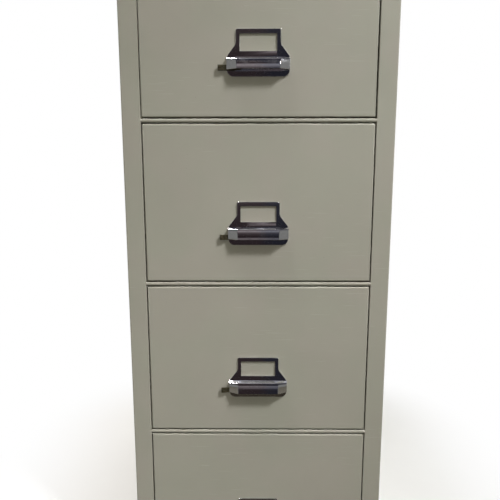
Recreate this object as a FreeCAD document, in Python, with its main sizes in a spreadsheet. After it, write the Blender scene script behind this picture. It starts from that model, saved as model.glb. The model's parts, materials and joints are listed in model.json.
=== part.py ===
"""A four-drawer insulated filing cabinet of legal width, as a parametric document.

+Z is up, the drawers open towards -Y, and the origin is on the floor under the middle of the case.
A piece is drawn with the cabinet's front plane at y = 0 and is then moved to its place.
"""
import FreeCAD
import Part
import Sketcher
import os
import re

PARTS_FOLDER = "parts"

# Sizes that can be set, in millimetres unless the note says otherwise
SIZES = (
    ("case_width", 528, "overall width of the case"),
    ("case_depth", 636, "front plane to the back of the rear panel"),
    ("stile_width", 37, "front stile, case side to drawer opening"),
    ("top_rail", 32, "front rail over the top drawer"),
    ("base_rail", 36, "front rail under the bottom drawer"),
    ("rail_height", 7.6, "strip between two drawers"),
    ("rail_edge", 3, "edge radius of that strip"),
    ("case_steel", 1.2, "sheet of the case"),
    ("case_corner", 3.5, "outer corner radius of the case"),
    ("back_wall", 57, "insulated back wall"),
    ("back_steel", 1.2, "sheet of the rear panel"),
    ("back_flange", 15, "turned edge that the rear panel is screwed to"),
    ("pan_steel", 2, "sheet of the base pan"),
    ("pan_rim", 12, "height of the base pan's rim"),
    ("drawer_count", 4, "number of drawers"),
    ("face_height", 310, "drawer front"),
    ("face_gap", 2.2, "gap over and under a drawer front"),
    ("side_gap", 2, "gap beside a drawer front"),
    ("face_edge", 3, "edge radius of a drawer front"),
    ("face_steel", 1.2, "sheet of a drawer front"),
    ("top_drawer_shift", -0.7, "how far the top drawer's head hangs to the right"),
    ("flange_depth", 23, "turned edge of a drawer front, front to back"),
    ("seat_gap", 1, "gap between a closed drawer head and its ledge"),
    ("head_steel", 1, "inner sheet of a drawer head"),
    ("plug_depth", 45, "inner step of a drawer head, behind its flange"),
    ("plug_gap", 3, "gap around that step"),
    ("ledge_width", 20, "sealing ledge beside a bay"),
    ("ledge_height", 15.2, "sealing ledge over and under a bay"),
    ("liner_steel", 1, "sheet of a bay's liner"),
    ("box_steel", 1, "sheet of a drawer box"),
    ("box_rise", 12, "drawer box over the bay's floor"),
    ("box_headroom", 22, "bay's ceiling over the drawer box"),
    ("box_clearance", 30, "bay's back behind the closed drawer box"),
    ("box_hem", 5, "width of the turned top edge of a drawer box"),
    ("box_flange", 14, "turned edge that fixes a drawer box to its head"),
    ("slide_rise", 40, "centre line of the slides over the box's underside"),
    ("slide_play", 0.4, "sideways play between slide members"),
    ("channel_depth", 5.2, "side to side, a slide channel"),
    ("channel_steel", 1.4, "sheet of a slide channel"),
    ("middle_steel", 1.5, "sheet of the middle slide member"),
    ("roller_radius", 10, "slide roller"),
    ("roller_play", 0.3, "gap between a roller and its channel"),
    ("roller_pin", 3, "radius of a roller's pin"),
    ("roller_inset", 4, "least distance from a roller to a member's end"),
    ("pin_fit", 0.05, "radial clearance of a turning or sliding fit"),
    ("travel_stop", 30, "length of the box that stays in the case when open"),
    ("rail_setback", 6, "drawer's slide members behind the drawer head"),
    ("case_rail_setback", 3, "case's slide members behind the closed drawer head"),
    ("handle_drop", 150, "top of the label frame under the drawer front's top edge"),
    ("frame_width", 85, "label frame"),
    ("frame_corner", 3, "cut corner of the label frame"),
    ("frame_side", 27, "straight side of the label frame"),
    ("shoulder_drop", 49.4, "end of the sloping shoulder under the frame's top"),
    ("handle_width", 119.4, "handle, side to side"),
    ("handle_height", 86, "handle's plate, top to bottom"),
    ("foot_corner", 12, "cut corner at the plate's foot"),
    ("plate_steel", 2.4, "thickness of the handle's plate"),
    ("plate_edge", 0.8, "edge radius of the handle's plate"),
    ("window_width", 70, "label window"),
    ("window_height", 31.4, "label window"),
    ("window_drop", 8.5, "top of the window under the frame's top"),
    ("root_drop", 50.4, "where the hood leaves the plate"),
    ("ridge_drop", 53.9, "the hood's upper fold"),
    ("ridge_reach", 11, "that fold in front of the drawer front"),
    ("brow_drop", 59.5, "upper side of the grip"),
    ("brow_reach", 14.7, "the same point in front of the drawer front"),
    ("grip_drop", 66.5, "middle of the grip"),
    ("grip_reach", 17, "the same point in front of the drawer front"),
    ("lip_drop", 73.7, "lower edge of the grip"),
    ("lip_reach", 16.5, "the same point in front of the drawer front"),
    ("grip_width", 82, "grip between the two cheeks"),
    ("grip_edge", 2, "edge radius of the grip"),
    ("cheek_reach", 6.6, "outer end of a cheek in front of the drawer front"),
    ("hood_wall", 2.4, "wall of the hood"),
    ("cheek_wall", 1.4, "wall at a cheek's outer end"),
    ("latch_drop", 70, "middle of the thumb latch under the frame's top"),
    ("latch_travel", 6, "stroke of the thumb latch"),
    ("latch_height", 10, "latch bar inside the drawer head"),
    ("latch_thickness", 6, "latch bar, front to back"),
    ("latch_depth", 8, "front side of the latch bar behind the drawer's face"),
    ("latch_play", 0.5, "clearance around the latch"),
    ("latch_inner", 30, "inner end of the latch bar, left of the middle"),
    ("bolt_reach", 5.5, "bolt beyond the side of the drawer head"),
    ("stem_left", 42, "outer side of the latch's stem, left of the middle"),
    ("stem_width", 10, "latch stem through the drawer front"),
    ("stem_height", 8, "latch stem, top to bottom"),
    ("tab_gap", 0.4, "thumb tab in front of the handle's plate"),
    ("tab_thickness", 2, "thumb tab, front to back"),
    ("thumb_height", 10.5, "thumb tab, top to bottom"),
    ("thumb_reach", 16.7, "thumb tab beyond the handle's end"),
    ("thumb_rib", 10.5, "raised grip at the tab's end"),
    ("thumb_rise", 1.6, "how far that grip stands up"),
    ("rod_radius", 2, "spring rod of the latch"),
    ("rod_length", 28, "spring rod of the latch"),
    ("bracket_left", 12, "spring bracket, left of the middle"),
    ("bracket_height", 14, "spring bracket, top to bottom"),
    ("coil_radius", 4, "latch spring, to the middle of its wire"),
    ("coil_wire", 0.4, "radius of the spring's wire"),
    ("coil_turns", 7, "turns of the latch spring"),
    ("groove_end", 10, "end of the latch's groove, right of the middle"),
    ("strike_steel", 2, "strike plate"),
    ("strike_height", 30, "strike plate"),
    ("strike_width", 16, "strike plate, front to back"),
    ("strike_pocket", 12, "depth of the hollow behind a strike plate"),
    ("catch_drop", 50, "top of the lock catch under the drawer box's edge"),
    ("catch_height", 20, "lock catch on a drawer box"),
    ("catch_reach", 10.5, "lock catch beyond the side of the box"),
    ("catch_steel", 4, "lock catch, front to back"),
    ("catch_setback", 15, "lock catch behind the drawer head"),
    ("bar_width", 10, "lock bar, side to side"),
    ("bar_thickness", 6, "lock bar, front to back"),
    ("bar_gap", 2, "gap between the lock bar and the liners"),
    ("bar_lead", 2, "gap between the lock bar's tabs and the catches"),
    ("bar_foot", 30, "lock bar below its lowest tab"),
    ("tab_clear", 6, "gap between a lock tab and the drawer box"),
    ("tab_lift", 3, "unlocked tab over its catch"),
    ("tab_height", 12, "lock tab"),
    ("guide_steel", 1.5, "wall of a lock bar guide"),
    ("guide_height", 12, "lock bar guide"),
    ("guide_rise", 32, "lock bar guide over a tab"),
    ("guide_play", 0.3, "clearance around the bar in its guide"),
    ("chase_play", 1.5, "clearance around the guides in the insulation"),
    ("cam_inset", 5.2, "cam plate's inner side left of the lock's centre"),
    ("lock_radius", 9.5, "lock barrel"),
    ("lock_length", 32, "lock barrel"),
    ("bezel_radius", 11, "flange of the lock barrel"),
    ("bezel_steel", 2, "flange of the lock barrel"),
    ("lock_nut", 4, "thickness of the nut behind the case's front"),
    ("plunger_radius", 7.5, "lock plunger"),
    ("plunger_reach", 12, "open plunger in front of the bezel's seat"),
    ("lock_travel", 10, "stroke of the plunger and of the lock bar"),
    ("keyway_width", 1.6, "slot for the key"),
    ("keyway_height", 7, "slot for the key"),
    ("keyway_depth", 12, "slot for the key"),
    ("cam_rod", 5, "radius of the rod behind the plunger"),
    ("cam_steel", 3.2, "cam plate at the end of the rod"),
    ("cam_gap", 2.8, "gap between the lock bar and the cam plate"),
    ("cam_margin", 7, "cam plate around its slot"),
    ("cam_pin", 2.4, "radius of the lock bar's pin"),
    ("cam_play", 0.3, "clearance of that pin in the cam slot"),
    ("chamber_gap", 4, "room around the lock's moving parts"),
    ("follower_height", 200, "follower plate in a drawer box"),
    ("follower_steel", 1.2, "sheet of the follower"),
    ("follower_foot", 60, "foot of the follower, front to back"),
    ("follower_play", 1, "gap between the follower and the box's sides"),
    ("follower_lift", 0.3, "gap between the follower and the box's floor"),
    ("follower_left", 120, "follower's reach from the box's front when drawn up"),
    ("gusset_inset", 40, "follower's gusset from its side"),
    ("gusset_height", 90, "follower's gusset"),
    ("screw_radius", 2, "shank of the machine screws"),
    ("screw_head", 4, "head radius of the machine screws"),
    ("screw_rise", 2.2, "head height of the machine screws"),
    ("screw_depth", 1.6, "thread in the handle's plate"),
    ("handle_screw", 38, "handle screw from the middle"),
    ("handle_screw_drop", 45, "handle screw under the frame's top"),
    ("screw_slack", 1, "clearance in the box flange's holes"),
    ("box_screw_inset", 7, "box screw from the side of the box"),
    ("box_screw_end", 30, "lowest and highest box screw from the box's edges"),
    ("back_screw_end", 60, "lowest and highest rear screw from the case's ends"),
    ("back_screw_rows", 6, "rear screws on a side"),
)

# Sizes that follow from the ones above
DERIVED = (
    ("opening_width", "case_width - 2 * stile_width"),
    ("opening_height", "face_height + 2 * face_gap"),
    ("drawer_pitch", "opening_height + rail_height"),
    ("openings_height", "drawer_count * drawer_pitch - rail_height"),
    ("openings_top", "base_rail + openings_height"),
    ("case_height", "openings_top + top_rail"),
    ("case_inside", "case_width / 2 - case_steel"),
    ("case_rear", "case_depth - back_steel - case_steel"),
    ("face_width", "opening_width - 2 * side_gap"),
    ("bay_width", "opening_width - 2 * ledge_width"),
    ("bay_height", "opening_height - 2 * ledge_height"),
    ("bay_floor", "ledge_height - face_gap"),
    ("ledge_depth", "flange_depth + head_steel + seat_gap"),
    ("jamb_depth", "ledge_depth + liner_steel"),
    ("bay_depth", "case_depth - ledge_depth - back_wall"),
    ("liner_side", "bay_width / 2 + liner_steel"),
    ("plug_width", "bay_width - 2 * plug_gap"),
    ("plug_height", "bay_height - 2 * plug_gap"),
    ("plug_floor", "bay_floor + plug_gap"),
    ("head_depth", "flange_depth + head_steel + plug_depth"),
    ("slide_space", "2 * channel_depth + 2 * slide_play + middle_steel"),
    ("box_width", "bay_width - 2 * slide_space"),
    ("box_floor", "bay_floor + box_rise"),
    ("box_height", "bay_height - box_rise - box_headroom"),
    ("box_top", "box_floor + box_height"),
    ("box_rear", "ledge_depth + bay_depth - box_clearance"),
    ("box_length", "box_rear - head_depth"),
    ("travel", "box_length - travel_stop"),
    ("slide_height", "box_floor + slide_rise"),
    ("channel_half", "roller_radius + roller_play + channel_steel"),
    ("case_rail_front", "head_depth + case_rail_setback"),
    ("case_rail_length", "ledge_depth + bay_depth - roller_inset - case_rail_front"),
    ("slide_front", "head_depth + rail_setback"),
    ("slide_length", "box_length - 2 * rail_setback"),
    ("outer_rear_roller", "slide_front + slide_length - roller_radius - roller_inset"),
    ("outer_front_roller", "case_rail_front + travel / 2 + roller_radius + roller_inset"),
    ("inner_front_roller", "slide_front + roller_radius + roller_inset"),
    ("inner_rear_roller", "slide_front + slide_length - travel / 2 - roller_radius - roller_inset"),
    ("middle_inner", "box_width / 2 + channel_depth + slide_play"),
    ("middle_outer", "middle_inner + middle_steel"),
    ("handle_top", "face_height - handle_drop"),
    ("latch_height_at", "handle_top - latch_drop"),
    ("latch_back", "latch_depth + latch_thickness"),
    ("latch_axis", "latch_depth + latch_thickness / 2"),
    ("groove_back", "latch_axis + coil_radius + coil_wire + latch_play"),
    ("handle_end", "handle_width / 2"),
    ("tab_front", "plate_steel + tab_gap + tab_thickness"),
    ("bar_front", "head_depth + catch_setback - bar_lead - bar_thickness"),
    ("bar_middle", "bar_front + bar_thickness / 2"),
    ("bar_left", "liner_side + bar_gap"),
    ("bar_right", "bar_left + bar_width"),
    ("catch_top", "box_top - catch_drop"),
    ("tab_foot", "catch_top + tab_lift"),
    ("tab_left", "box_width / 2 + tab_clear"),
    ("guide_right", "bar_right + guide_play + guide_steel"),
    ("guide_front", "bar_front - guide_play - guide_steel"),
    ("guide_back", "bar_front + bar_thickness + guide_play + guide_steel"),
    ("lowest_tab", "base_rail + face_gap + tab_foot"),
    ("cam_left", "bar_right + cam_gap"),
    ("lock_side", "cam_left + cam_inset"),
    ("lock_height", "openings_top + top_rail / 2"),
    ("cam_half", "lock_travel / 2 + cam_pin + cam_play"),
    ("cam_across", "(cam_pin + cam_play) / sqrt(2)"),
    ("cam_centre", "bar_middle - lock_travel / 2"),
    ("cam_front", "cam_centre - cam_half - cam_margin"),
    ("cam_back", "cam_centre + cam_half + cam_margin"),
    ("cam_foot", "-lock_travel / 2 - cam_half - cam_margin"),
    ("bay_ceiling", "openings_top - ledge_height"),
    ("follower_front", "box_rear - box_steel - follower_foot - follower_play"),
    ("follower_width", "box_width - 2 * box_steel - 2 * follower_play"),
    ("follower_travel", "follower_front - head_depth - follower_left"),
    ("back_screw_step", "(case_height - 2 * back_screw_end) / (back_screw_rows - 1)"),
    ("box_screw_step", "(box_height - 2 * box_screw_end) / 2"),
)

document = FreeCAD.newDocument("FilingCabinet")
sheet = document.addObject("Spreadsheet::Sheet", "Sizes")
NAMES = {row[0] for row in SIZES + DERIVED}


def bound(formula):
    """The formula with the sheet's name before the name of each size."""
    return re.sub(r"[a-z_]+", lambda word: ("Sizes." if word[0] in NAMES else "") + word[0], str(formula))


def size(formula):
    """What a formula comes to now."""
    return float(sheet.evalExpression(bound(formula)))


def fill_sheet():
    """Writes the driving sizes as plain numbers, and the ones that follow as formulas."""
    for line, (name, value, note) in enumerate(SIZES, start=1):
        sheet.set(f"A{line}", name)
        sheet.set(f"B{line}", str(value))
        sheet.setAlias(f"B{line}", name)
        sheet.set(f"C{line}", note)
    for line, (name, formula) in enumerate(DERIVED, start=len(SIZES) + 2):
        sheet.set(f"A{line}", name)
        sheet.set(f"B{line}", "=" + formula)
        sheet.setAlias(f"B{line}", name)
    document.recompute()


def block(left, right, low, high):
    """The four corners of a rectangle, as formulas."""
    return [(left, low), (right, low), (right, high), (left, high)]


def disc(across, up, radius):
    """A circle, as formulas."""
    return {"across": across, "up": up, "radius": radius}


class Piece:
    """One sub-part: a body whose features read their sizes from the sheet.

    A feature is drawn on the front plane (across X, up Z, going back along Y), the side plane
    (across Y, up Z, going right along X) or the flat plane (across X, up Y, going up along Z),
    starts where a formula says and always goes the way that its plane's axis does.
    """

    PLANES = {"front": ("XZ_Plane", "-"), "side": ("YZ_Plane", ""), "flat": ("XY_Plane", "")}

    def __init__(self, label, right="0", up="0"):
        self.body = document.addObject("PartDesign::Body", "Body")
        self.body.Label = label
        self.origin = {plane.Role: plane for plane in self.body.Origin.OriginFeatures}
        self.body.setExpression(".Placement.Base.x", bound(right))
        self.body.setExpression(".Placement.Base.y", bound("-case_depth / 2"))
        self.body.setExpression(".Placement.Base.z", bound(up))

    def sketch(self, plane, start, shapes):
        """A sketch of closed outlines and circles, fully tied to the sheet."""
        role, sign = self.PLANES[plane]
        drawn = self.body.newObject("Sketcher::SketchObject", "Outline")
        drawn.AttachmentSupport = [(self.origin[role], "")]
        drawn.MapMode = "FlatFace"
        drawn.setExpression(".AttachmentOffset.Base.z", bound(f"{sign}({start})"))
        for shape in shapes:
            if isinstance(shape, dict):
                self.draw_circle(drawn, shape)
            else:
                self.draw_outline(drawn, shape)
        return drawn

    @staticmethod
    def tie(drawn, kind, items, formula):
        """A dimension of a sketch, bound to a formula."""
        index = drawn.addConstraint(Sketcher.Constraint(kind, *items, size(formula)))
        drawn.setExpression(f"Constraints[{index}]", bound(formula))

    def draw_outline(self, drawn, points):
        first = drawn.GeometryCount
        at = [FreeCAD.Vector(size(across), size(up), 0) for across, up in points]
        for index, point in enumerate(at):
            drawn.addGeometry(Part.LineSegment(point, at[(index + 1) % len(at)]), False)
        for index, (across, up) in enumerate(points):
            line, following = first + index, first + (index + 1) % len(points)
            drawn.addConstraint(Sketcher.Constraint("Coincident", line, 2, following, 1))
            self.tie(drawn, "DistanceX", (-1, 1, line, 1), across)
            self.tie(drawn, "DistanceY", (-1, 1, line, 1), up)

    def draw_circle(self, drawn, circle):
        centre = FreeCAD.Vector(size(circle["across"]), size(circle["up"]), 0)
        ring = Part.Circle(centre, FreeCAD.Vector(0, 0, 1), size(circle["radius"]))
        index = drawn.addGeometry(ring, False)
        self.tie(drawn, "DistanceX", (-1, 1, index, 3), circle["across"])
        self.tie(drawn, "DistanceY", (-1, 1, index, 3), circle["up"])
        self.tie(drawn, "Radius", (index,), circle["radius"])

    def feature(self, kind, name):
        made = self.body.newObject(f"PartDesign::{kind}", name)
        return made

    def pad(self, plane, start, length, *shapes):
        """Adds material from the start, as long as the length."""
        drawn = self.sketch(plane, start, shapes)
        made = self.feature("Pad", "Pad")
        made.Profile = drawn
        made.setExpression("Length", bound(length))
        made.Reversed = plane == "front"
        return self

    def cut(self, plane, start, length, *shapes):
        """Takes material away from the start, as long as the length."""
        drawn = self.sketch(plane, start, shapes)
        made = self.feature("Pocket", "Cut")
        made.Profile = drawn
        made.setExpression("Length", bound(length))
        made.Reversed = plane != "front"
        return self

    def loft(self, kind, sections):
        """Adds or takes away a straight-sided body through outlines on side planes."""
        drawn = [self.sketch("side", start, [points]) for start, points in sections]
        made = self.feature(kind, "Loft")
        made.Profile = drawn[0]
        made.Sections = drawn[1:]
        made.Ruled = True
        return self

    def fillet(self, radius, wanted):
        """Rounds the edges whose middle the test wants."""
        document.recompute()
        tip = self.body.Tip
        edges = tip.Shape.Edges
        chosen = [f"Edge{number}" for number, edge in enumerate(edges, start=1) if wanted(middle(edge), edge)]
        if not chosen:
            raise ValueError(f"{self.body.Label} has no edge to round")
        made = self.feature("Fillet", "Fillet")
        made.Base = (tip, chosen)
        made.setExpression("Radius", bound(radius))
        return self

    def repeat(self, axis, step, count):
        """Copies everything so far along an axis."""
        made = self.feature("LinearPattern", "Row")
        made.TransformMode = "Whole shape"
        made.Direction = (self.origin[axis], [""])
        made.Mode = "Spacing"
        made.setExpression("Offset", bound(step))
        made.setExpression("Occurrences", bound(count))
        self.body.Tip = made
        return self

    def mirror(self):
        """Copies everything so far to the other side of the cabinet."""
        made = self.feature("Mirrored", "Pair")
        made.TransformMode = "Whole shape"
        made.MirrorPlane = (self.origin["YZ_Plane"], [""])
        self.body.Tip = made
        return self


class Group:
    """One sub-part of several bodies that lie face to face and stay separate solids."""

    def __init__(self, label, *pieces):
        self.body = document.addObject("Part::Compound", "Group")
        self.body.Label = label
        self.body.Links = [piece.body for piece in pieces]


def middle(edge):
    """The middle of an edge's box."""
    return edge.BoundBox.Center


def near(value, formula):
    """Whether a coordinate is where a formula says."""
    return abs(value - size(formula)) < 0.01


def long_edge(edge, length):
    """Whether an edge is about as long as a formula says, or longer."""
    return edge.Length > 0.9 * size(length)


# The case and what is built into it


def make_case_shell():
    """Sides, top and front frame in one steel wrap, with a jamb turned in around the openings."""
    half, inside = "case_width / 2", "case_inside"
    opening = block("-opening_width / 2", "opening_width / 2", "base_rail", "openings_top")
    jamb = block(
        "-opening_width / 2 - case_steel",
        "opening_width / 2 + case_steel",
        "base_rail - case_steel",
        "openings_top + case_steel",
    )
    rear = block(
        "-case_inside + back_flange",
        "case_inside - back_flange",
        "back_flange",
        "case_height - case_steel - back_flange",
    )
    shell = Piece("case_shell")
    shell.pad("front", "0", "case_depth - back_steel", block("-" + half, half, "pan_steel", "case_height"))
    shell.fillet(
        "case_corner",
        lambda at, edge: (near(at.y, "0") and at.z > size("pan_steel") + 1)
        or (near(abs(at.x), half) and near(at.z, "case_height"))
        and at.y > 1,
    )
    shell.cut(
        "front", "case_steel", "case_rear - case_steel",
        block("-" + inside, inside, "-1", "case_height - case_steel"),
    )
    shell.cut("front", "case_rear", "case_steel", rear)
    shell.cut("front", "0", "case_steel", opening)
    shell.pad("front", "0", "jamb_depth", opening, jamb)
    shell.cut("front", "0", "case_steel", disc("lock_side", "lock_height", "lock_radius + pin_fit"))
    for number in drawer_numbers():
        centre = f"{drawer_foot(number)} + latch_height_at"
        shell.cut(
            "side", "-opening_width / 2 - case_steel", "case_steel",
            block(
                "latch_depth - latch_play",
                "latch_back + latch_play",
                f"{centre} - latch_height / 2 - latch_play",
                f"{centre} + latch_height / 2 + latch_play",
            ),
        )
    for row in screw_rows():
        for side in ("-", ""):
            hole = disc(side + back_screw_side(), row, "screw_radius + pin_fit")
            shell.cut("front", "case_rear", "case_steel", hole)
    return shell


def screw_rows():
    """Heights of the rear panel's screws, as formulas."""
    return [f"back_screw_end + {row} * back_screw_step" for row in range(int(size("back_screw_rows")))]


def back_screw_side():
    return "(case_inside - back_flange / 2)"


def make_case_back():
    """The rear panel, laid on the turned edges of the shell."""
    back = Piece("case_back")
    back.pad(
        "front", "case_depth - back_steel", "back_steel",
        block("-case_inside", "case_inside", "pan_steel", "case_height - case_steel"),
    )
    for row in screw_rows():
        holes = [disc(side + back_screw_side(), row, "screw_radius + pin_fit") for side in ("-", "")]
        back.cut("front", "case_depth - back_steel", "back_steel", *holes)
    return back


def make_case_screws():
    """Pan-head screws that hold the rear panel."""
    screws = Piece("case_screws")
    for side in ("-", ""):
        at = side + back_screw_side()
        screws.pad("front", "case_rear", "case_steel + back_steel", disc(at, "back_screw_end", "screw_radius"))
        screws.pad("front", "case_depth", "screw_rise", disc(at, "back_screw_end", "screw_head"))
    screws.fillet("screw_rise / 3", lambda at, edge: near(at.y, "case_depth + screw_rise"))
    screws.repeat("Z_Axis", "back_screw_step", "back_screw_rows")
    return screws


def make_base_pan():
    """The flat pan that the cabinet stands on, its rim turned up inside the shell."""
    pan = Piece("base_pan")
    outer = block("-case_inside", "case_inside", "case_steel", "case_rear")
    inner = block(
        "-case_inside + pan_steel", "case_inside - pan_steel", "case_steel + pan_steel", "case_rear - pan_steel"
    )
    pan.pad("flat", "0", "pan_rim", outer)
    pan.cut("flat", "pan_steel", "pan_rim - pan_steel", inner)
    return pan


def make_case_insulation():
    """The cast slabs that fill the walls, laid face to face around the bays."""
    return Group(
        "case_insulation",
        make_stile_fills(),
        make_rail_fills(),
        make_wall_slabs(),
        make_back_slab(),
        make_shelf_slabs(),
    )


def rebate(slab):
    """Takes the base pan's rim out of a slab's foot."""
    slab.cut(
        "flat", "pan_steel", "pan_rim - pan_steel",
        block("-case_inside", "case_inside", "case_steel", "case_rear"),
        block(
            "-case_inside + pan_steel", "case_inside - pan_steel", "case_steel + pan_steel", "case_rear - pan_steel"
        ),
    )


def bore_lock(slab):
    """Takes the room of the lock's barrel out of a slab."""
    slab.cut("front", "case_steel", "cam_front", disc("lock_side", "lock_height", "bezel_radius"))


def make_stile_fills():
    """The fill behind the two stiles, hollowed on the left for the strikes."""
    slab = Piece("stile_fills")
    side = "(opening_width / 2 + case_steel)"
    for left, right in (("-case_inside", "-" + side), (side, "case_inside")):
        slab.pad(
            "front", "case_steel", "jamb_depth - case_steel",
            block(left, right, "pan_steel", "case_height - case_steel"),
        )
    for number in drawer_numbers():
        centre = f"{drawer_foot(number)} + latch_height_at"
        slab.cut(
            "side", f"-{side} - strike_pocket", "strike_pocket",
            block(
                "case_steel",
                "jamb_depth",
                f"{centre} - strike_height / 2 - latch_play",
                f"{centre} + strike_height / 2 + latch_play",
            ),
        )
    rebate(slab)
    bore_lock(slab)
    return slab


def make_rail_fills():
    """The fill behind the rails over the top drawer and under the bottom one."""
    slab = Piece("rail_fills")
    for low, high in (
        ("pan_steel", "base_rail - case_steel"),
        ("openings_top + case_steel", "case_height - case_steel"),
    ):
        slab.pad(
            "front", "case_steel", "jamb_depth - case_steel",
            block("-opening_width / 2 - case_steel", "opening_width / 2 + case_steel", low, high),
        )
    rebate(slab)
    bore_lock(slab)
    return slab


def make_wall_slabs():
    """The side walls, the right one with the lock bar's chase and the chamber of its cam."""
    slab = Piece("wall_slabs")
    for left, right in (("-case_inside", "-liner_side"), ("liner_side", "case_inside")):
        slab.pad(
            "front", "jamb_depth", "case_rear - jamb_depth",
            block(left, right, "pan_steel", "case_height - case_steel"),
        )
    slab.cut(
        "flat", "lowest_tab - bar_foot - lock_travel - chamber_gap",
        "lock_height + cam_foot - lowest_tab + bar_foot + lock_travel + chamber_gap",
        block("liner_side", "guide_right + chase_play", "guide_front - chase_play", "guide_back + chase_play"),
    )
    slab.cut(
        "front", "cam_front - chamber_gap", "cam_back - cam_front + lock_travel + 2 * chamber_gap",
        block(
            "liner_side",
            "lock_side + cam_rod + chamber_gap",
            "bay_ceiling + liner_steel + case_steel",
            "case_height - case_steel - chamber_gap",
        ),
    )
    rebate(slab)
    bore_lock(slab)
    return slab


def make_back_slab():
    """The rear wall between the side walls."""
    slab = Piece("back_slab")
    slab.pad(
        "front", "jamb_depth + bay_depth", "case_rear - jamb_depth - bay_depth",
        block("-liner_side", "liner_side", "pan_steel", "case_height - case_steel"),
    )
    rebate(slab)
    return slab


def make_shelf_slabs():
    """The floor, the ceiling and the slabs between the bays."""
    slab = Piece("shelf_slabs")
    floors = [f"{drawer_foot(number)} + bay_floor - liner_steel" for number in drawer_numbers()]
    ceilings = [floor + " + bay_height + 2 * liner_steel" for floor in floors]
    for low, high in zip(ceilings + ["pan_steel"], ["case_height - case_steel"] + floors):
        slab.pad("front", "jamb_depth", "bay_depth", block("-liner_side", "liner_side", low, high))
    return slab


def make_liners():
    """A steel liner in each bay, its front edge turned out as the ledge the drawer head closes on."""
    liners = Piece("bay_liners", up="base_rail + face_gap")
    ceiling = "bay_floor + bay_height"
    liners.pad(
        "front", "ledge_depth", "liner_steel",
        block("-opening_width / 2", "opening_width / 2", "-face_gap", "face_height + face_gap"),
    )
    liners.pad(
        "front", "ledge_depth", "bay_depth + liner_steel",
        block("-liner_side", "liner_side", "bay_floor - liner_steel", ceiling + " + liner_steel"),
    )
    liners.cut("front", "ledge_depth", "bay_depth", block("-bay_width / 2", "bay_width / 2", "bay_floor", ceiling))
    liners.cut(
        "side", "bay_width / 2", "liner_steel",
        block(
            "bar_front - chase_play",
            "bar_front + bar_thickness + chase_play",
            "tab_foot - lock_travel - chase_play",
            "tab_foot + tab_height + chase_play",
        ),
    )
    liners.repeat("Z_Axis", "drawer_pitch", "drawer_count")
    return liners


def make_rails():
    """The thin strips between the drawers, each a channel open at the back."""
    rails = Piece("divider_rails", up="base_rail + opening_height")
    rails.pad(
        "front", "0", "jamb_depth", block("-opening_width / 2", "opening_width / 2", "0", "rail_height")
    )
    rails.fillet("rail_edge", lambda at, edge: near(at.y, "0") and long_edge(edge, "opening_width"))
    rails.cut(
        "front", "case_steel", "jamb_depth - case_steel",
        block("-opening_width / 2", "opening_width / 2", "case_steel", "rail_height - case_steel"),
    )
    rails.repeat("Z_Axis", "drawer_pitch", "drawer_count - 1")
    return rails


def make_strikes():
    """Plates behind the left jamb that the latch bolts shoot into."""
    strikes = Piece("latch_strikes", up="base_rail + face_gap + latch_height_at")
    side = "-opening_width / 2 - case_steel - strike_steel"
    strikes.pad(
        "side", side, "strike_steel",
        block(
            "latch_depth + (latch_thickness - strike_width) / 2",
            "latch_depth + (latch_thickness + strike_width) / 2",
            "-strike_height / 2",
            "strike_height / 2",
        ),
    )
    strikes.cut(
        "side", side, "strike_steel",
        block(
            "latch_depth - latch_play",
            "latch_back + latch_play",
            "-latch_height / 2 - latch_play",
            "latch_height / 2 + latch_play",
        ),
    )
    strikes.repeat("Z_Axis", "drawer_pitch", "drawer_count")
    return strikes


def make_lock_cylinder():
    """The barrel of the push lock, with its bezel in front and its nut behind the steel."""
    barrel = Piece("lock_cylinder", right="lock_side", up="lock_height")
    bore = disc("0", "0", "plunger_radius + pin_fit")
    barrel.pad("front", "-bezel_steel", "bezel_steel", disc("0", "0", "bezel_radius"))
    barrel.fillet("bezel_steel / 3", lambda at, edge: near(at.y, "-bezel_steel"))
    barrel.pad("front", "0", "lock_length", disc("0", "0", "lock_radius"))
    barrel.pad("front", "case_steel", "lock_nut", disc("0", "0", "bezel_radius"))
    barrel.cut("front", "-bezel_steel", "bezel_steel + lock_length", bore)
    return barrel


def make_lock_plunger():
    """The keyed plunger and its cam plate, whose slanted slot drives the lock bar down."""
    plunger = Piece("lock_plunger", right="lock_side", up="lock_height")
    along, across = "cam_half", "cam_across"
    rear = "(lock_length + chamber_gap)"
    plunger.pad("front", "-plunger_reach", f"plunger_reach + {rear}", disc("0", "0", "plunger_radius"))
    plunger.fillet("bezel_steel / 3", lambda at, edge: near(at.y, "-plunger_reach"))
    plunger.pad("front", rear, f"cam_back - {rear}", disc("0", "0", "cam_rod"))
    plunger.pad(
        "side", "-cam_inset", "cam_steel",
        block("cam_front", "cam_back", "cam_foot", "cam_rod"),
    )
    plunger.cut(
        "front", "-plunger_reach", "keyway_depth",
        block("-keyway_width / 2", "keyway_width / 2", "-keyway_height / 2", "keyway_height / 2"),
    )
    slot_height = "-lock_travel / 2"
    plunger.cut(
        "side", "-cam_inset", "cam_rod + cam_steel + cam_gap + chamber_gap",
        [
            (f"cam_centre + {along} - {across}", f"{slot_height} + {along} + {across}"),
            (f"cam_centre + {along} + {across}", f"{slot_height} + {along} - {across}"),
            (f"cam_centre - {along} + {across}", f"{slot_height} - {along} - {across}"),
            (f"cam_centre - {along} - {across}", f"{slot_height} - {along} + {across}"),
        ],
    )
    return plunger


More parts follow.
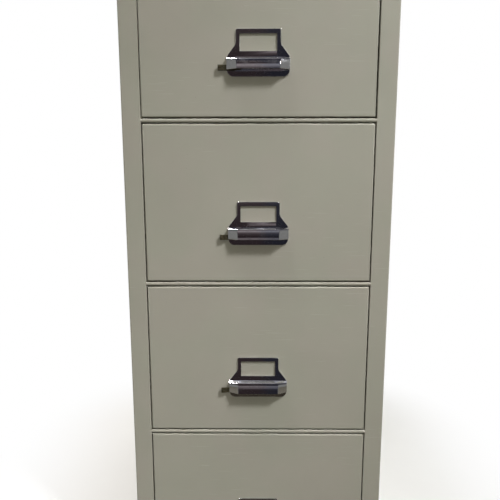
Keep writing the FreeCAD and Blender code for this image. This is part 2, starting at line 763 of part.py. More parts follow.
def make_lock_bar():
    """The bar that locks all drawers, with a tab for each and the pin that rides in the cam slot."""
    bar = Piece("flat_bar")
    bar.pad(
        "flat", "lowest_tab - bar_foot", "lock_height + cam_pin + cam_play - lowest_tab + bar_foot",
        block("bar_left", "bar_right", "bar_front", "bar_front + bar_thickness"),
    )
    tabs = Piece("bar_tabs")
    for number in drawer_numbers():
        foot = f"{drawer_foot(number)} + tab_foot"
        tabs.pad(
            "side", "tab_left", "bar_left - tab_left",
            block("bar_front", "bar_front + bar_thickness", foot, foot + " + tab_height"),
        )
    pin = Piece("cam_pin")
    pin.pad("side", "bar_right", "cam_gap + cam_steel + cam_play", disc("bar_middle", "lock_height", "cam_pin"))
    return Group("lock_bar", bar, tabs, pin)


def make_bar_guides():
    """Loops behind the liners that keep the lock bar upright."""
    guides = Piece("lock_bar_guides", up="lowest_tab + guide_rise")
    guides.pad(
        "flat", "0", "guide_height",
        block("liner_side", "guide_right", "guide_front", "guide_back"),
        block(
            "bar_left - guide_play",
            "bar_right + guide_play",
            "bar_front - guide_play",
            "bar_front + bar_thickness + guide_play",
        ),
    )
    guides.repeat("Z_Axis", "drawer_pitch", "drawer_count - 1")
    return guides


# The drawers, numbered from the top


def drawer_numbers():
    return range(1, int(size("drawer_count")) + 1)


def drawer_foot(number):
    """Height of a drawer front's lower edge, as a formula."""
    return f"(base_rail + face_gap + (drawer_count - {number}) * drawer_pitch)"


def head_shift(number):
    """The top drawer's head hangs a little to one side."""
    return "top_drawer_shift" if number == 1 else "0"


def make_face(number):
    """The painted front pan, with the holes for the handle and the bracket of the latch spring."""
    face = Piece(f"drawer_{number}_front", head_shift(number), drawer_foot(number))
    face.pad("front", "0", "flange_depth", block("-face_width / 2", "face_width / 2", "0", "face_height"))
    face.fillet("face_edge", lambda at, edge: near(at.y, "0"))
    face.cut(
        "front", "face_steel", "flange_depth - face_steel",
        block(
            "-face_width / 2 + face_steel", "face_width / 2 - face_steel", "face_steel", "face_height - face_steel"
        ),
    )
    face.pad(
        "side", "-bracket_left", "face_steel",
        block(
            "face_steel",
            "groove_back - latch_play",
            "latch_height_at - bracket_height / 2",
            "latch_height_at + bracket_height / 2",
        ),
    )
    face.cut(
        "side", "-bracket_left", "face_steel",
        disc("latch_axis", "latch_height_at", "rod_radius + pin_fit"),
    )
    face.cut("side", "-face_width / 2", "face_steel", latch_hole("latch_height_at"))
    face.cut("front", "0", "face_steel", stem_slot("latch_height_at"))
    for side in ("-", ""):
        at = disc(side + "handle_screw", "handle_top - handle_screw_drop", "screw_radius + pin_fit")
        face.cut("front", "0", "face_steel", at)
    return face


def latch_hole(height):
    """The hole that a latch bar slides through, seen from the side."""
    return block(
        "latch_depth - latch_play / 2",
        "latch_back + latch_play / 2",
        f"{height} - (latch_height + latch_play) / 2",
        f"{height} + (latch_height + latch_play) / 2",
    )


def stem_slot(height):
    """The slot that a latch stem travels in, seen from the front."""
    return block(
        "-stem_left - latch_play",
        "-stem_left + stem_width + latch_travel + latch_play",
        f"{height} - stem_height / 2 - latch_play",
        f"{height} + stem_height / 2 + latch_play",
    )


def make_head_insulation(number):
    """The stepped slab inside the drawer head, grooved for the latch."""
    slab = Piece(f"drawer_{number}_insulation", head_shift(number), drawer_foot(number))
    slab.pad(
        "front", "face_steel", "flange_depth - face_steel",
        block(
            "-face_width / 2 + face_steel", "face_width / 2 - face_steel", "face_steel", "face_height - face_steel"
        ),
    )
    slab.pad(
        "front", "flange_depth", "plug_depth",
        block(
            "-plug_width / 2 + head_steel",
            "plug_width / 2 - head_steel",
            "plug_floor + head_steel",
            "plug_floor + plug_height - head_steel",
        ),
    )
    slab.cut(
        "front", "face_steel", "groove_back - face_steel",
        block(
            "-face_width / 2 + face_steel",
            "groove_end",
            "latch_height_at - bracket_height / 2",
            "latch_height_at + bracket_height / 2",
        ),
    )
    for side in ("-", ""):
        at = disc(side + "handle_screw", "handle_top - handle_screw_drop", "screw_head + latch_play")
        slab.cut("front", "face_steel", "screw_rise + latch_play", at)
    return slab


def make_inner_panel(number):
    """The steel lining of the drawer head: a ring behind the front pan and the step inside it."""
    panel = Piece(f"drawer_{number}_inner_panel", head_shift(number), drawer_foot(number))
    panel.pad(
        "front", "flange_depth", "head_steel", block("-face_width / 2", "face_width / 2", "0", "face_height")
    )
    panel.pad(
        "front", "flange_depth", "plug_depth + head_steel",
        block("-plug_width / 2", "plug_width / 2", "plug_floor", "plug_floor + plug_height"),
    )
    panel.cut(
        "front", "flange_depth", "plug_depth",
        block(
            "-plug_width / 2 + head_steel",
            "plug_width / 2 - head_steel",
            "plug_floor + head_steel",
            "plug_floor + plug_height - head_steel",
        ),
    )
    for side in ("-", ""):
        holes = [disc(side + box_screw_side(), row, "screw_radius + pin_fit") for row in box_screw_rows()]
        panel.cut("front", "flange_depth + plug_depth", "head_steel", *holes)
    return panel


def box_screw_side():
    return "(box_width / 2 - box_screw_inset)"


def box_screw_rows():
    """Heights of the screws between a drawer's box and its head, as formulas."""
    return [f"box_floor + box_screw_end + {row} * box_screw_step" for row in range(3)]


def make_box(number):
    """The sheet steel drawer box, open at the top, and the lock's catch on its right side."""
    box = Piece(f"drawer_{number}_sheet", up=drawer_foot(number))
    half = "box_width / 2"
    box.pad("front", "head_depth", "box_length", block("-" + half, half, "box_floor", "box_top"))
    box.cut(
        "flat", "box_floor + box_steel", "box_height",
        block(
            f"-{half} + box_steel", f"{half} - box_steel", "head_depth + box_steel", "box_rear - box_steel"
        ),
    )
    box.cut(
        "front", "head_depth", "box_steel",
        block(f"-{half} + box_flange", f"{half} - box_flange", "box_floor + box_flange", "box_top + box_steel"),
    )
    for side in ("-", ""):
        holes = [disc(side + box_screw_side(), row, "screw_radius + screw_slack") for row in box_screw_rows()]
        box.cut("front", "head_depth", "box_steel", *holes)
    for left in (f"-{half} - box_hem", half):
        box.pad(
            "front", "head_depth", "box_length",
            block(left, left + " + box_hem", "box_top - box_steel", "box_top"),
        )
    catch = Piece(f"drawer_{number}_catch", up=drawer_foot(number))
    catch.pad(
        "side", half, "catch_reach",
        block(
            "head_depth + catch_setback",
            "head_depth + catch_setback + catch_steel",
            "catch_top - catch_height",
            "catch_top",
        ),
    )
    return Group(f"drawer_{number}_box", box, catch)


def channel(number, label, side, opens, start, length):
    """A pair of slide channels, the web on one side and the two flanges turned towards the other."""
    rail = Piece(f"drawer_{number}_{label}", up=f"{drawer_foot(number)} + slide_height")
    hollow = f"{side} + channel_steel" if opens == "right" else side
    rail.pad("front", start, length, block(side, side + " + channel_depth", "-channel_half", "channel_half"))
    rail.cut(
        "front", start, length,
        block(
            hollow,
            f"{hollow} + channel_depth - channel_steel",
            "-channel_half + channel_steel",
            "channel_half - channel_steel",
        ),
    )
    rail.mirror()
    return rail


def make_drawer_rails(number):
    """The slide channels on the sides of a drawer box."""
    return channel(number, "drawer_rails", "box_width / 2", "right", "slide_front", "slide_length")


def make_case_rails(number):
    """The slide channels on a bay's liner."""
    side = "(bay_width / 2 - channel_depth)"
    return channel(number, "case_rails", side, "left", "case_rail_front", "case_rail_length")


def make_middle_rails(number):
    """The plates between the channels, with rollers that run in both."""
    rail = Piece(f"drawer_{number}_middle_rails", up=f"{drawer_foot(number)} + slide_height")
    rail.pad(
        "front", "slide_front", "slide_length",
        block("middle_inner", "middle_outer", "-channel_half", "channel_half"),
    )
    width = "(channel_depth - channel_steel)"
    inner, outer = f"middle_inner - {width}", "middle_outer"
    for left, places in (
        (outer, ("outer_rear_roller", "outer_front_roller")),
        (inner, ("inner_rear_roller", "inner_front_roller")),
    ):
        for place in places:
            rail.pad("side", left, width, disc(place, "0", "roller_pin"))
            rail.pad(
                "side", f"{left} + slide_play / 2", f"{width} - slide_play",
                disc(place, "0", "roller_radius"),
                disc(place, "0", "roller_pin + pin_fit"),
            )
    rail.mirror()
    return rail


def make_handle(number):
    """Label frame and pull in one casting: a plate with a window, and a hood with slanted cheeks."""
    height = f"{drawer_foot(number)} + handle_top"
    handle = Piece(f"drawer_{number}_handle", head_shift(number), height)
    right_side = [
        ("frame_width / 2 - frame_corner", "0"),
        ("frame_width / 2", "-frame_corner"),
        ("frame_width / 2", "-frame_side"),
        ("handle_end", "-shoulder_drop"),
        ("handle_end", "-handle_height + foot_corner"),
        ("handle_end - foot_corner", "-handle_height"),
    ]
    left_side = [(f"-({across})", up) for across, up in reversed(right_side)]
    handle.pad("front", "-plate_steel", "plate_steel", right_side + left_side)
    handle.cut(
        "front", "-plate_steel", "plate_steel",
        block("-window_width / 2", "window_width / 2", "-window_drop - window_height", "-window_drop"),
    )
    handle.fillet("plate_edge", lambda at, edge: near(at.y, "-plate_steel"))
    base = "plate_steel - plate_edge"
    profile = hood_profile("0", base)
    end = cheek_profile("cheek_reach", "0", base)
    handle.loft(
        "AdditiveLoft",
        [
            ("-handle_end", end),
            ("-grip_width / 2", profile),
            ("grip_width / 2", profile),
            ("handle_end", end),
        ],
    )
    handle.fillet(
        "grip_edge",
        lambda at, edge: -at.y > size("brow_reach - grip_edge")
        and abs(at.x) < size("grip_width / 2 + grip_edge"),
    )
    hollow = hood_profile("hood_wall", "plate_steel")
    hollow_end = cheek_profile("cheek_reach - cheek_wall", "hood_wall", "plate_steel")
    handle.loft(
        "SubtractiveLoft",
        [
            ("-handle_end + hood_wall", hollow_end),
            ("-grip_width / 2 + cheek_wall", hollow),
            ("grip_width / 2 - cheek_wall", hollow),
            ("handle_end - hood_wall", hollow_end),
        ],
    )
    handle.cut(
        "side", "-handle_end", "hood_wall",
        block(
            "-tab_front - tab_gap",
            "-plate_steel",
            "-latch_drop - thumb_height / 2 - latch_play",
            "-latch_drop + thumb_height / 2 + latch_play",
        ),
    )
    handle.cut("front", "-plate_steel", "plate_steel", stem_slot("-latch_drop"))
    for side in ("-", ""):
        at = disc(side + "handle_screw", "-handle_screw_drop", "screw_radius + pin_fit")
        handle.cut("front", "-screw_depth", "screw_depth", at)
    return handle


def hood_profile(wall, base):
    """The hood's section at the grip, a wall's thickness inside its skin, from a plane in the plate."""
    return [
        (f"-({base})", f"-root_drop - {wall}"),
        (f"-ridge_reach + {wall}", f"-ridge_drop - {wall}"),
        (f"-brow_reach + {wall}", f"-brow_drop - {wall}"),
        (f"-grip_reach + {wall}", "-grip_drop"),
        (f"-lip_reach + {wall}", f"-lip_drop - {wall} / 10"),
        (f"-({base})", f"-lip_drop - {wall} / 10"),
    ]


def cheek_profile(reach, wall, base):
    """The hood's section at the outer end of a cheek."""
    return [
        (f"-({base})", f"-root_drop - {wall}"),
        (f"-({reach}) + {wall} / 6", f"-ridge_drop - {wall}"),
        (f"-({reach})", f"-brow_drop - {wall}"),
        (f"-({reach})", "-grip_drop"),
        (f"-({reach})", f"-lip_drop - {wall} / 10"),
        (f"-({base})", f"-lip_drop - {wall} / 10"),
    ]


def make_thumb_latch(number):
    """Thumb tab, stem and bolt bar in one piece, sliding sideways in the drawer head."""
    height = f"{drawer_foot(number)} + latch_height_at"
    latch = Piece(f"drawer_{number}_thumb_latch", head_shift(number), height)
    bolt_tip = "-face_width / 2 - bolt_reach"
    latch.pad(
        "front", "latch_depth", "latch_thickness",
        block(bolt_tip, "-latch_inner", "-latch_height / 2", "latch_height / 2"),
    )
    latch.pad("side", "-latch_inner", "rod_length", disc("latch_axis", "0", "rod_radius"))
    latch.pad(
        "front", "-tab_front", "tab_front + latch_back",
        block("-stem_left", "-stem_left + stem_width", "-stem_height / 2", "stem_height / 2"),
    )
    latch.pad(
        "front", "-tab_front", "tab_thickness",
        block("-handle_end - thumb_reach", "-stem_left", "-thumb_height / 2", "thumb_height / 2"),
    )
    latch.pad(
        "front", "-tab_front - thumb_rise", "thumb_rise",
        block(
            "-handle_end - thumb_reach",
            "-handle_end - thumb_reach + thumb_rib",
            "-thumb_height / 2",
            "thumb_height / 2",
        ),
    )
    latch.fillet("thumb_rise / 2", lambda at, edge: near(at.y, "-tab_front - thumb_rise"))
    return latch


def make_latch_spring(number):
    """The coil between the end of the latch bar and its bracket."""
    height = f"{drawer_foot(number)} + latch_height_at"
    spring = Piece(f"drawer_{number}_latch_spring", head_shift(number), height)
    length = "(latch_inner - bracket_left - 2 * roller_play - 2 * coil_wire)"
    start = "-latch_inner + roller_play + coil_wire"
    axis_depth = "latch_axis"
    wire = spring.sketch("front", axis_depth, [disc(start, "coil_radius", "coil_wire")])
    coil = spring.feature("AdditiveHelix", "Coil")
    coil.Profile = wire
    coil.ReferenceAxis = (wire, ["H_Axis"])
    coil.Mode = "pitch-turns-angle"
    coil.setExpression("Pitch", bound(f"{length} / coil_turns"))
    coil.setExpression("Turns", bound("coil_turns"))
    return spring


def make_follower(number):
    """The follower plate that holds the files up, on a foot that slides on the box's floor."""
    floor = "box_floor + box_steel + follower_lift"
    follower = Piece(f"drawer_{number}_follower", up=f"{drawer_foot(number)} + {floor}")
    half = "follower_width / 2"
    follower.pad("front", "follower_front", "follower_foot", block("-" + half, half, "0", "follower_steel"))
    follower.pad("front", "follower_front", "follower_steel", block("-" + half, half, "0", "follower_height"))
    for left in (f"-{half} + gusset_inset", f"{half} - gusset_inset - follower_steel"):
        follower.pad(
            "side", left, "follower_steel",
            [
                ("follower_front", "0"),
                ("follower_front + follower_foot", "0"),
                ("follower_front + follower_foot", "2 * follower_steel"),
                ("follower_front + 2 * follower_steel", "gusset_height"),
                ("follower_front", "gusset_height"),
            ],
        )
    return follower


def make_screws(number):
    """The two screws of the handle and the six between the drawer's box and its head."""
    screws = Piece(f"drawer_{number}_screws", head_shift(number), drawer_foot(number))
    for side in ("-", ""):
        at, up = side + "handle_screw", "handle_top - handle_screw_drop"
        screws.pad("front", "-screw_depth", "screw_depth + face_steel", disc(at, up, "screw_radius"))
        screws.pad("front", "face_steel", "screw_rise", disc(at, up, "screw_head"))
        for row in box_screw_rows():
            at = side + box_screw_side()
            screws.pad("front", "flange_depth + plug_depth", "head_steel + box_steel", disc(at, row, "screw_radius"))
            screws.pad("front", "head_depth + box_steel", "screw_rise", disc(at, row, "screw_head"))
    return screws


def check(pieces):
    """Stops if a feature failed, cut nothing or left a shape that isn't sound."""
    for item in document.Objects:
        if "Invalid" in item.State or "Error" in item.State:
            raise ValueError(f"{item.Label} failed: {item.State}")
        if item.TypeId == "PartDesign::Pocket":
            if item.Shape.Volume > item.BaseFeature.Shape.Volume - 0.01:
                raise ValueError(f"{item.Label} of {item.getParentGeoFeatureGroup().Label} cut nothing")
    for piece in pieces:
        shape = piece.body.Shape
        if shape.isNull() or not shape.isValid() or not shape.Solids:
            raise ValueError(f"{piece.body.Label} isn't a sound solid")


def main():
    fill_sheet()
    pieces = [
        make_case_shell(),
        make_case_back(),
        make_case_screws(),
        make_base_pan(),
        make_case_insulation(),
        make_liners(),
        make_rails(),
        make_strikes(),
        make_lock_cylinder(),
        make_lock_plunger(),
        make_lock_bar(),
        make_bar_guides(),
    ]
    drawer_pieces = (
        make_face,
        make_head_insulation,
        make_inner_panel,
        make_box,
        make_drawer_rails,
        make_case_rails,
        make_middle_rails,
        make_handle,
        make_thumb_latch,
        make_latch_spring,
        make_follower,
        make_screws,
    )
    for number in drawer_numbers():
        pieces += [make(number) for make in drawer_pieces]
    document.recompute()
    check(pieces)
    os.makedirs(PARTS_FOLDER, exist_ok=True)
    for piece in pieces:
        shape = piece.body.Shape
        shape.exportStep(f"{PARTS_FOLDER}/{piece.body.Label}.step")
        print(f"{piece.body.Label}: {len(shape.Solids)} solid(s), {shape.Volume / 1000:.1f} cm3")
    for name in ("case_height", "travel", "follower_travel", "latch_travel", "lock_travel"):
        print(name, size(name))


main()
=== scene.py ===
"""Looks for the four-drawer insulated filing cabinet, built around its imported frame.

Everything is in metres. +Z is up, the drawers open towards -Y and +X is to the right.
"""

import json
import logging
import math
from contextlib import contextmanager
from dataclasses import dataclass
from enum import Enum
from typing import Any, Callable, Iterator, Sequence

import bmesh
import bpy
from mathutils import Matrix, Vector


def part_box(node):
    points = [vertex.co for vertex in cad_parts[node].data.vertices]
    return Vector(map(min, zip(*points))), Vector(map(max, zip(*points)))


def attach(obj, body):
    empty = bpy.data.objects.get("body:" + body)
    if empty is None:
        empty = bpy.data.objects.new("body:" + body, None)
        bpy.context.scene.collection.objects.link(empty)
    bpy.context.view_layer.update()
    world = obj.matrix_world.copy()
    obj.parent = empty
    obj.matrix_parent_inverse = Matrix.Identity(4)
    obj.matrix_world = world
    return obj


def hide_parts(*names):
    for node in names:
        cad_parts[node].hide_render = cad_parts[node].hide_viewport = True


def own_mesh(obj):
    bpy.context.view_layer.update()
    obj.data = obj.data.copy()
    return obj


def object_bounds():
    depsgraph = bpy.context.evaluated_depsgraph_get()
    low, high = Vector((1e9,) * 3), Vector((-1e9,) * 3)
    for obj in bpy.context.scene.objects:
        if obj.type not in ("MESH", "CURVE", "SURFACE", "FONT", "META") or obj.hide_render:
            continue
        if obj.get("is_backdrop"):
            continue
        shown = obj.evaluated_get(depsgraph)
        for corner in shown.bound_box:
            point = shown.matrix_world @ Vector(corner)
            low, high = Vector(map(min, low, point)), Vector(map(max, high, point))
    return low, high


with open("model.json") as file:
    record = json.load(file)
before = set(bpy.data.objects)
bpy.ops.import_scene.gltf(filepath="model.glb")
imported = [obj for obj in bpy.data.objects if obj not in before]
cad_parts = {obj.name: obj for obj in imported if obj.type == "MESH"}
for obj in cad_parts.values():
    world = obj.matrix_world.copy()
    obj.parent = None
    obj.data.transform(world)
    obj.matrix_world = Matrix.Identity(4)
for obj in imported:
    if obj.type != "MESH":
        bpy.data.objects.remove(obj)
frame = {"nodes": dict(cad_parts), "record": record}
CAD_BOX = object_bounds()

LOG = logging.getLogger("cabinet")
MM = 0.001
X, Y, Z = (1, 0, 0), (0, 1, 0), (0, 0, 1)
DRAWERS = (1, 2, 3, 4)

# The turns from which an edge stays sharp when shaded and is broken when softened, and how far the
# shading follows wide faces.
SMOOTH_ANGLE = math.radians(38)
BREAK_ANGLE = math.radians(35)
FLATNESS = 80

# The same place, a direction along an axis and one across it, and the turns of a fold, a sharp edge and
# an edge of one face only.
NEAR = 0.05 * MM
ALONG, ACROSS = 0.9, 0.1
BENT, SHARP, OPEN = 0.2, 0.7, 3.0

Numbers = Sequence[float]
Pair = tuple[float, float]
Triple = tuple[float, float, float]
Shade = tuple[float, float, float, float]
Test = Callable[..., bool]


def near(value: float, *places: float) -> bool:
    """Tells whether a coordinate is, to within a hair, at one of the places."""
    return any(abs(value - place) < NEAR for place in places)


def linear(share: float) -> float:
    """Turns a share of light as it is seen on a screen into the one that a shader takes."""
    return share / 12.92 if share <= 0.04045 else ((share + 0.055) / 1.055) ** 2.4


def tone(red: float, green: float, blue: float) -> Shade:
    """Gives the linear, opaque colour of one that is seen with these levels from 0 to 255."""
    return linear(red / 255), linear(green / 255), linear(blue / 255), 1.0


def grey(level: float) -> Shade:
    """Gives a neutral linear colour of one level."""
    return level, level, level, 1.0


def warm(level: float) -> Shade:
    """Gives a dim grey, from 0 to 255, that leans to red."""
    return tone(round(level) + 4, round(level) - 4, round(level) - 2)


def cool(level: float) -> Shade:
    """Gives a grey, from 0 to 255, that leans to blue."""
    return tone(round(level) - 3, round(level) - 3, round(level) + 5)


def deselect() -> None:
    """Leaves edit mode with nothing selected."""
    if bpy.context.mode != "OBJECT":
        bpy.ops.object.mode_set(mode="OBJECT")
    bpy.ops.object.select_all(action="DESELECT")


def adopt(name: str) -> bpy.types.Object:
    """Names the mesh object that was just added, and moves its place, turn and scale into its mesh.

    Args:
        name: its name.

    Returns:
        The object.
    """
    item = bpy.context.active_object
    item.name = name
    item.data.name = name
    bpy.ops.object.transform_apply(location=True, rotation=True, scale=True)
    return item


# Node trees


def sums(operation: str, swapped: bool = False) -> Callable[..., "Wire"]:
    """Makes a method of a wire that adds a Math node.

    Args:
        operation: the node's operation.
        swapped: whether the wire comes second.

    Returns:
        The method.
    """

    def method(wire: "Wire", *others: "Wire | float") -> "Wire":
        """Adds the node and gives its result."""
        values = (*others, wire) if swapped else (wire, *others)
        return wire.bench.add("Math", dict(enumerate(values)), operation=operation)

    return method


class Wire:
    """An output in a node tree, on which sums are written as Python expressions."""

    def __init__(self, bench: "Bench", socket: bpy.types.NodeSocket | None) -> None:
        """Keeps the socket, none on a node that ends a tree, and the bench of its tree."""
        self.bench = bench
        self.socket = socket

    __add__ = sums("ADD")
    __radd__ = sums("ADD", swapped=True)
    __sub__ = sums("SUBTRACT")
    __rsub__ = sums("SUBTRACT", swapped=True)
    __mul__ = sums("MULTIPLY")
    __rmul__ = sums("MULTIPLY", swapped=True)
    __pow__ = sums("POWER")
    __abs__ = sums("ABSOLUTE")
    at_least = sums("MAXIMUM")
    arcsine = sums("ARCSINE")


class Bench:
    """Fills one node tree."""

    def __init__(self, owner: bpy.types.Material | bpy.types.World) -> None:
        """Empties the tree of a material or a world.

        Args:
            owner: the material or the world.
        """
        owner.use_nodes = True
        self.tree = owner.node_tree
        self.tree.nodes.clear()

    def add(self, kind: str, inputs: dict[Any, Any] | None = None, output: Any = 0, **settings: Any) -> Wire:
        """Adds a node, sets it and fills its sockets.

        Args:
            kind: the node's type, without its prefix.
            inputs: a value or a wire for each socket, by name or number.
            output: the output that is wanted, by name or number.
            settings: the node's own properties.

        Returns:
            That output.
        """
        node = self.tree.nodes.new("ShaderNode" + kind)
        for name, value in settings.items():
            setattr(node, name, value)
        for name, value in (inputs or {}).items():
            if isinstance(value, Wire):
                self.tree.links.new(value.socket, node.inputs[name])
            else:
                node.inputs[name].default_value = value
        return Wire(self, node.outputs[output] if node.outputs else None)

    def surface(self, shader: Wire, output: str = "OutputMaterial") -> None:
        """Ends the tree with what it comes to."""
        self.add(output, {"Surface": shader})

    def ray(self, kind: str) -> Wire:
        """Gives 1 for rays of one kind and 0 for all others."""
        return self.add("LightPath", output=f"Is {kind} Ray")

    def axes(self, way: str = "Object") -> list[Wire]:
        """Gives the coordinates one by one, the object's own unless another kind is named."""
        split = self.add("SeparateXYZ", {0: self.add("TexCoord", output=way)})
        return [Wire(self, output) for output in split.socket.node.outputs]

    def noise(
        self,
        scale: float,
        detail: float = 3.0,
        roughness: float = 0.5,
        stretch: Numbers = (1, 1, 1),
        shift: Numbers = (0, 0, 0),
        way: str = "Object",
    ) -> Wire:
        """Gives cloudy noise about 0.5.

        Args:
            scale: features in a metre.
            detail: octaves.
            roughness: weight of the finer octaves.
            stretch: how many times denser it is along each axis.
            shift: how far it is moved.
            way: the kind of coordinates.

        Returns:
            The noise's value.
        """
        own = self.add("TexCoord", output=way)
        place = self.add("Mapping", {"Vector": own, "Scale": stretch, "Location": shift})
        inputs = {"Vector": place, "Scale": scale, "Detail": detail, "Roughness": roughness}
        return self.add("TexNoise", inputs)

    def fade(self, value: Wire, low: float, high: float, first: float = 0.0, last: float = 1.0) -> Wire:
        """Maps low to high softly to first to last, and holds the result beyond their ends."""
        inputs = {"Value": value, "From Min": low, "From Max": high, "To Min": first, "To Max": last}
        return self.add("MapRange", inputs, interpolation_type="SMOOTHSTEP")

    def blend(self, share: Wire | float, first: Any, second: Any) -> Wire:
        """Mixes a share of the second colour into the first."""
        return self.add("Mix", {0: share, 6: first, 7: second}, output=2, data_type="RGBA")

    def tint(self, colour: Any, factor: Wire) -> Wire:
        """Makes a colour lighter or darker by a factor."""
        start = colour if isinstance(colour, Wire) else colour[:3]
        return self.add("VectorMath", {0: start, "Scale": factor}, operation="SCALE")

    def bump(self, height: Wire, distance: float, **below: Wire) -> Wire:
        """Gives a relief in which 1 stands this far above 0, laid over a Normal if one is named."""
        return self.add("Bump", {"Height": height, "Distance": distance, "Strength": 1.0, **below})

    def ramp(self, value: Wire, stops: Sequence[tuple[float, Shade]]) -> Wire:
        """Turns a value from 0 to 1 into a colour.

        Args:
            value: the value.
            stops: a place from 0 to 1 and a colour for each stop.

        Returns:
            The colour.
        """
        made = self.add("ValToRGB", {0: value})
        elements = made.socket.node.color_ramp.elements
        while len(elements) < len(stops):
            elements.new(1.0)
        for element, (place, colour) in zip(elements, stops):
            element.position = place
            element.color = colour
        return made


# Finishes


@dataclass(frozen=True)
class Finish:
    """What all finishes share: a name, a colour, a shine and the way a material is made of them."""

    name: str
    colour: Shade
    roughness: float = 0.4
    metallic: float = 0.0

    def material(self) -> bpy.types.Material:
        """Makes a material with this finish's nodes."""
        made = bpy.data.materials.new(self.name)
        self.fill(Bench(made))
        return made

    def fill(self, bench: Bench) -> None:
        """Builds the finish's nodes."""
        raise NotImplementedError

    def coat(self, bench: Bench, body: Wire, roughness: Wire, normal: Wire) -> None:
        """Ends the tree with the surface shader."""
        inputs = {"Base Color": body, "Roughness": roughness, "Metallic": self.metallic, "Normal": normal}
        bench.surface(bench.add("BsdfPrincipled", inputs))


@dataclass(frozen=True)
class Enamel(Finish):
    """Baked satin enamel on sheet steel, with a fine orange peel, faint mottling and scuffs."""

    peel: float = 0.012 * MM
    wave: float = 0.9 * MM
    scuffs: float = 1.0

    def fill(self, bench: Bench) -> None:
        """Builds the enamel.

        Args:
            bench: the bench of the material's tree.
        """
        cloud = bench.noise(7.0, 3.0, 0.55)
        patch = bench.noise(26.0, 2.0, 0.5, shift=(3.1, 0.4, 1.7))
        grain = bench.noise(900.0, 2.0, 0.6)
        lean = bench.noise(11.0, 2.0, 0.5, shift=(-2.0, 5.0, 0.3))
        level = 1.0 + 0.10 * (cloud - 0.5) + 0.035 * (patch - 0.5) + 0.03 * (grain - 0.5)
        body = bench.blend(bench.fade(lean, 0.3, 0.7), self.colour, self.greener())
        body = bench.tint(body, level)
        scuff = self.scuff_mask(bench)
        body = bench.blend(scuff * 0.22, body, tone(196, 193, 182))
        speck = bench.fade(bench.noise(330.0, 1.0, 0.5, shift=(0.7, 0.1, 0.9)), 0.76, 0.79)
        body = bench.blend(speck * 0.35, body, tone(88, 84, 70))
        gloss = bench.fade(bench.noise(19.0, 3.0, 0.6, shift=(1.0, 2.0, 4.0)), 0.25, 0.75, -0.05, 0.06)
        sheet = bench.bump(bench.noise(5.5, 1.0, 0.4), self.wave)
        peel = bench.bump(bench.noise(430.0, 1.0, 0.4), self.peel, Normal=sheet)
        self.coat(bench, body, self.roughness + gloss + scuff * 0.12, peel)

    def greener(self) -> Shade:
        """Gives the enamel's colour where it leans to green."""
        red, green, blue, full = self.colour
        return red * 0.965, green, blue * 0.975, full

    def scuff_mask(self, bench: Bench) -> Wire:
        """Gives 1 on thin, short, level rub marks and 0 elsewhere."""
        line = bench.fade(bench.noise(60.0, 2.0, 0.5, stretch=(0.22, 1.0, 9.0)), 0.665, 0.70)
        return line * bench.fade(bench.noise(4.0, 1.0, 0.5, shift=(9.0, 1.0, 2.0)), 0.50, 0.64) * self.scuffs


@dataclass(frozen=True)
class Chrome(Finish):
    """Bright plating on a die casting, a little wavy, with light smudges."""

    def fill(self, bench: Bench) -> None:
        """Builds the plating.

        Args:
            bench: the bench of the material's tree.
        """
        smudge = bench.fade(bench.noise(70.0, 3.0, 0.6), 0.40, 0.72)
        pits = bench.fade(bench.noise(1500.0, 1.0, 0.5), 0.74, 0.79)
        body = bench.tint(self.colour, 1.0 - 0.10 * smudge)
        body = bench.blend(pits * 0.5, body, tone(72, 66, 58))
        wave = bench.bump(bench.noise(55.0, 1.0, 0.4, stretch=(0.35, 1.0, 1.0)), 0.10 * MM)
        self.coat(bench, body, self.roughness + 0.10 * smudge + 0.25 * pits, wave)


@dataclass(frozen=True)
class Steel(Finish):
    """Zinc-plated or bright steel, drawn along one axis, with dull and rubbed patches."""

    drawn: Triple = (18.0, 0.6, 18.0)

    def fill(self, bench: Bench) -> None:
        """Builds the steel.

        Args:
            bench: the bench of the material's tree.
        """
        lines = bench.noise(45.0, 3.0, 0.65, stretch=self.drawn)
        spangle = bench.noise(120.0, 1.0, 0.5, shift=(0.2, 0.8, 0.1))
        dull = bench.fade(bench.noise(24.0, 3.0, 0.6), 0.35, 0.7)
        body = bench.tint(self.colour, 0.82 + 0.24 * lines + 0.16 * (spangle - 0.5))
        body = bench.blend(dull * 0.30, body, tone(120, 117, 108))
        roughness = self.roughness + 0.16 * dull + 0.14 * (lines - 0.5)
        self.coat(bench, body, roughness, bench.bump(lines, 0.03 * MM))


@dataclass(frozen=True)
class Bronzed(Finish):
    """Dark bronzed zinc, rubbed lighter where a thumb touches it."""

    def fill(self, bench: Bench) -> None:
        """Builds the bronzing.

        Args:
            bench: the bench of the material's tree.
        """
        rub = bench.fade(bench.noise(160.0, 3.0, 0.6), 0.48, 0.70)
        fine = bench.noise(700.0, 2.0, 0.6)
        body = bench.tint(bench.blend(rub * 0.6, self.colour, tone(112, 104, 82)), 0.85 + 0.3 * fine)
        roughness = self.roughness - 0.12 * rub + 0.10 * (fine - 0.5)
        self.coat(bench, body, roughness, bench.bump(fine, 0.04 * MM))


@dataclass(frozen=True)
class CastFill(Finish):
    """Cast mineral filling: chalky, speckled and full of small pores, with painted shade in the pores."""

    def fill(self, bench: Bench) -> None:
        """Builds the filling.

        Args:
            bench: the bench of the material's tree.
        """
        cloud = bench.noise(16.0, 4.0, 0.6)
        speck = bench.fade(bench.noise(520.0, 2.0, 0.6), 0.60, 0.68)
        pores_and_shade = bench.fade(bench.noise(260.0, 3.0, 0.7, shift=(1.0, 1.0, 0.0)), 0.34, 0.42)
        body = bench.tint(self.colour, 0.84 + 0.32 * cloud)
        body = bench.blend(speck * 0.35, body, tone(222, 218, 206))
        # Painted shade: the pores are sunk in the relief and darkened in colour, as the shade that falls in
        # them.
        body = bench.blend((1.0 - pores_and_shade) * 0.5, body, tone(118, 112, 100))
        relief = bench.bump(pores_and_shade + 0.4 * cloud, 0.5 * MM)
        self.coat(bench, body, self.roughness + 0.10 * (cloud - 0.5), relief)


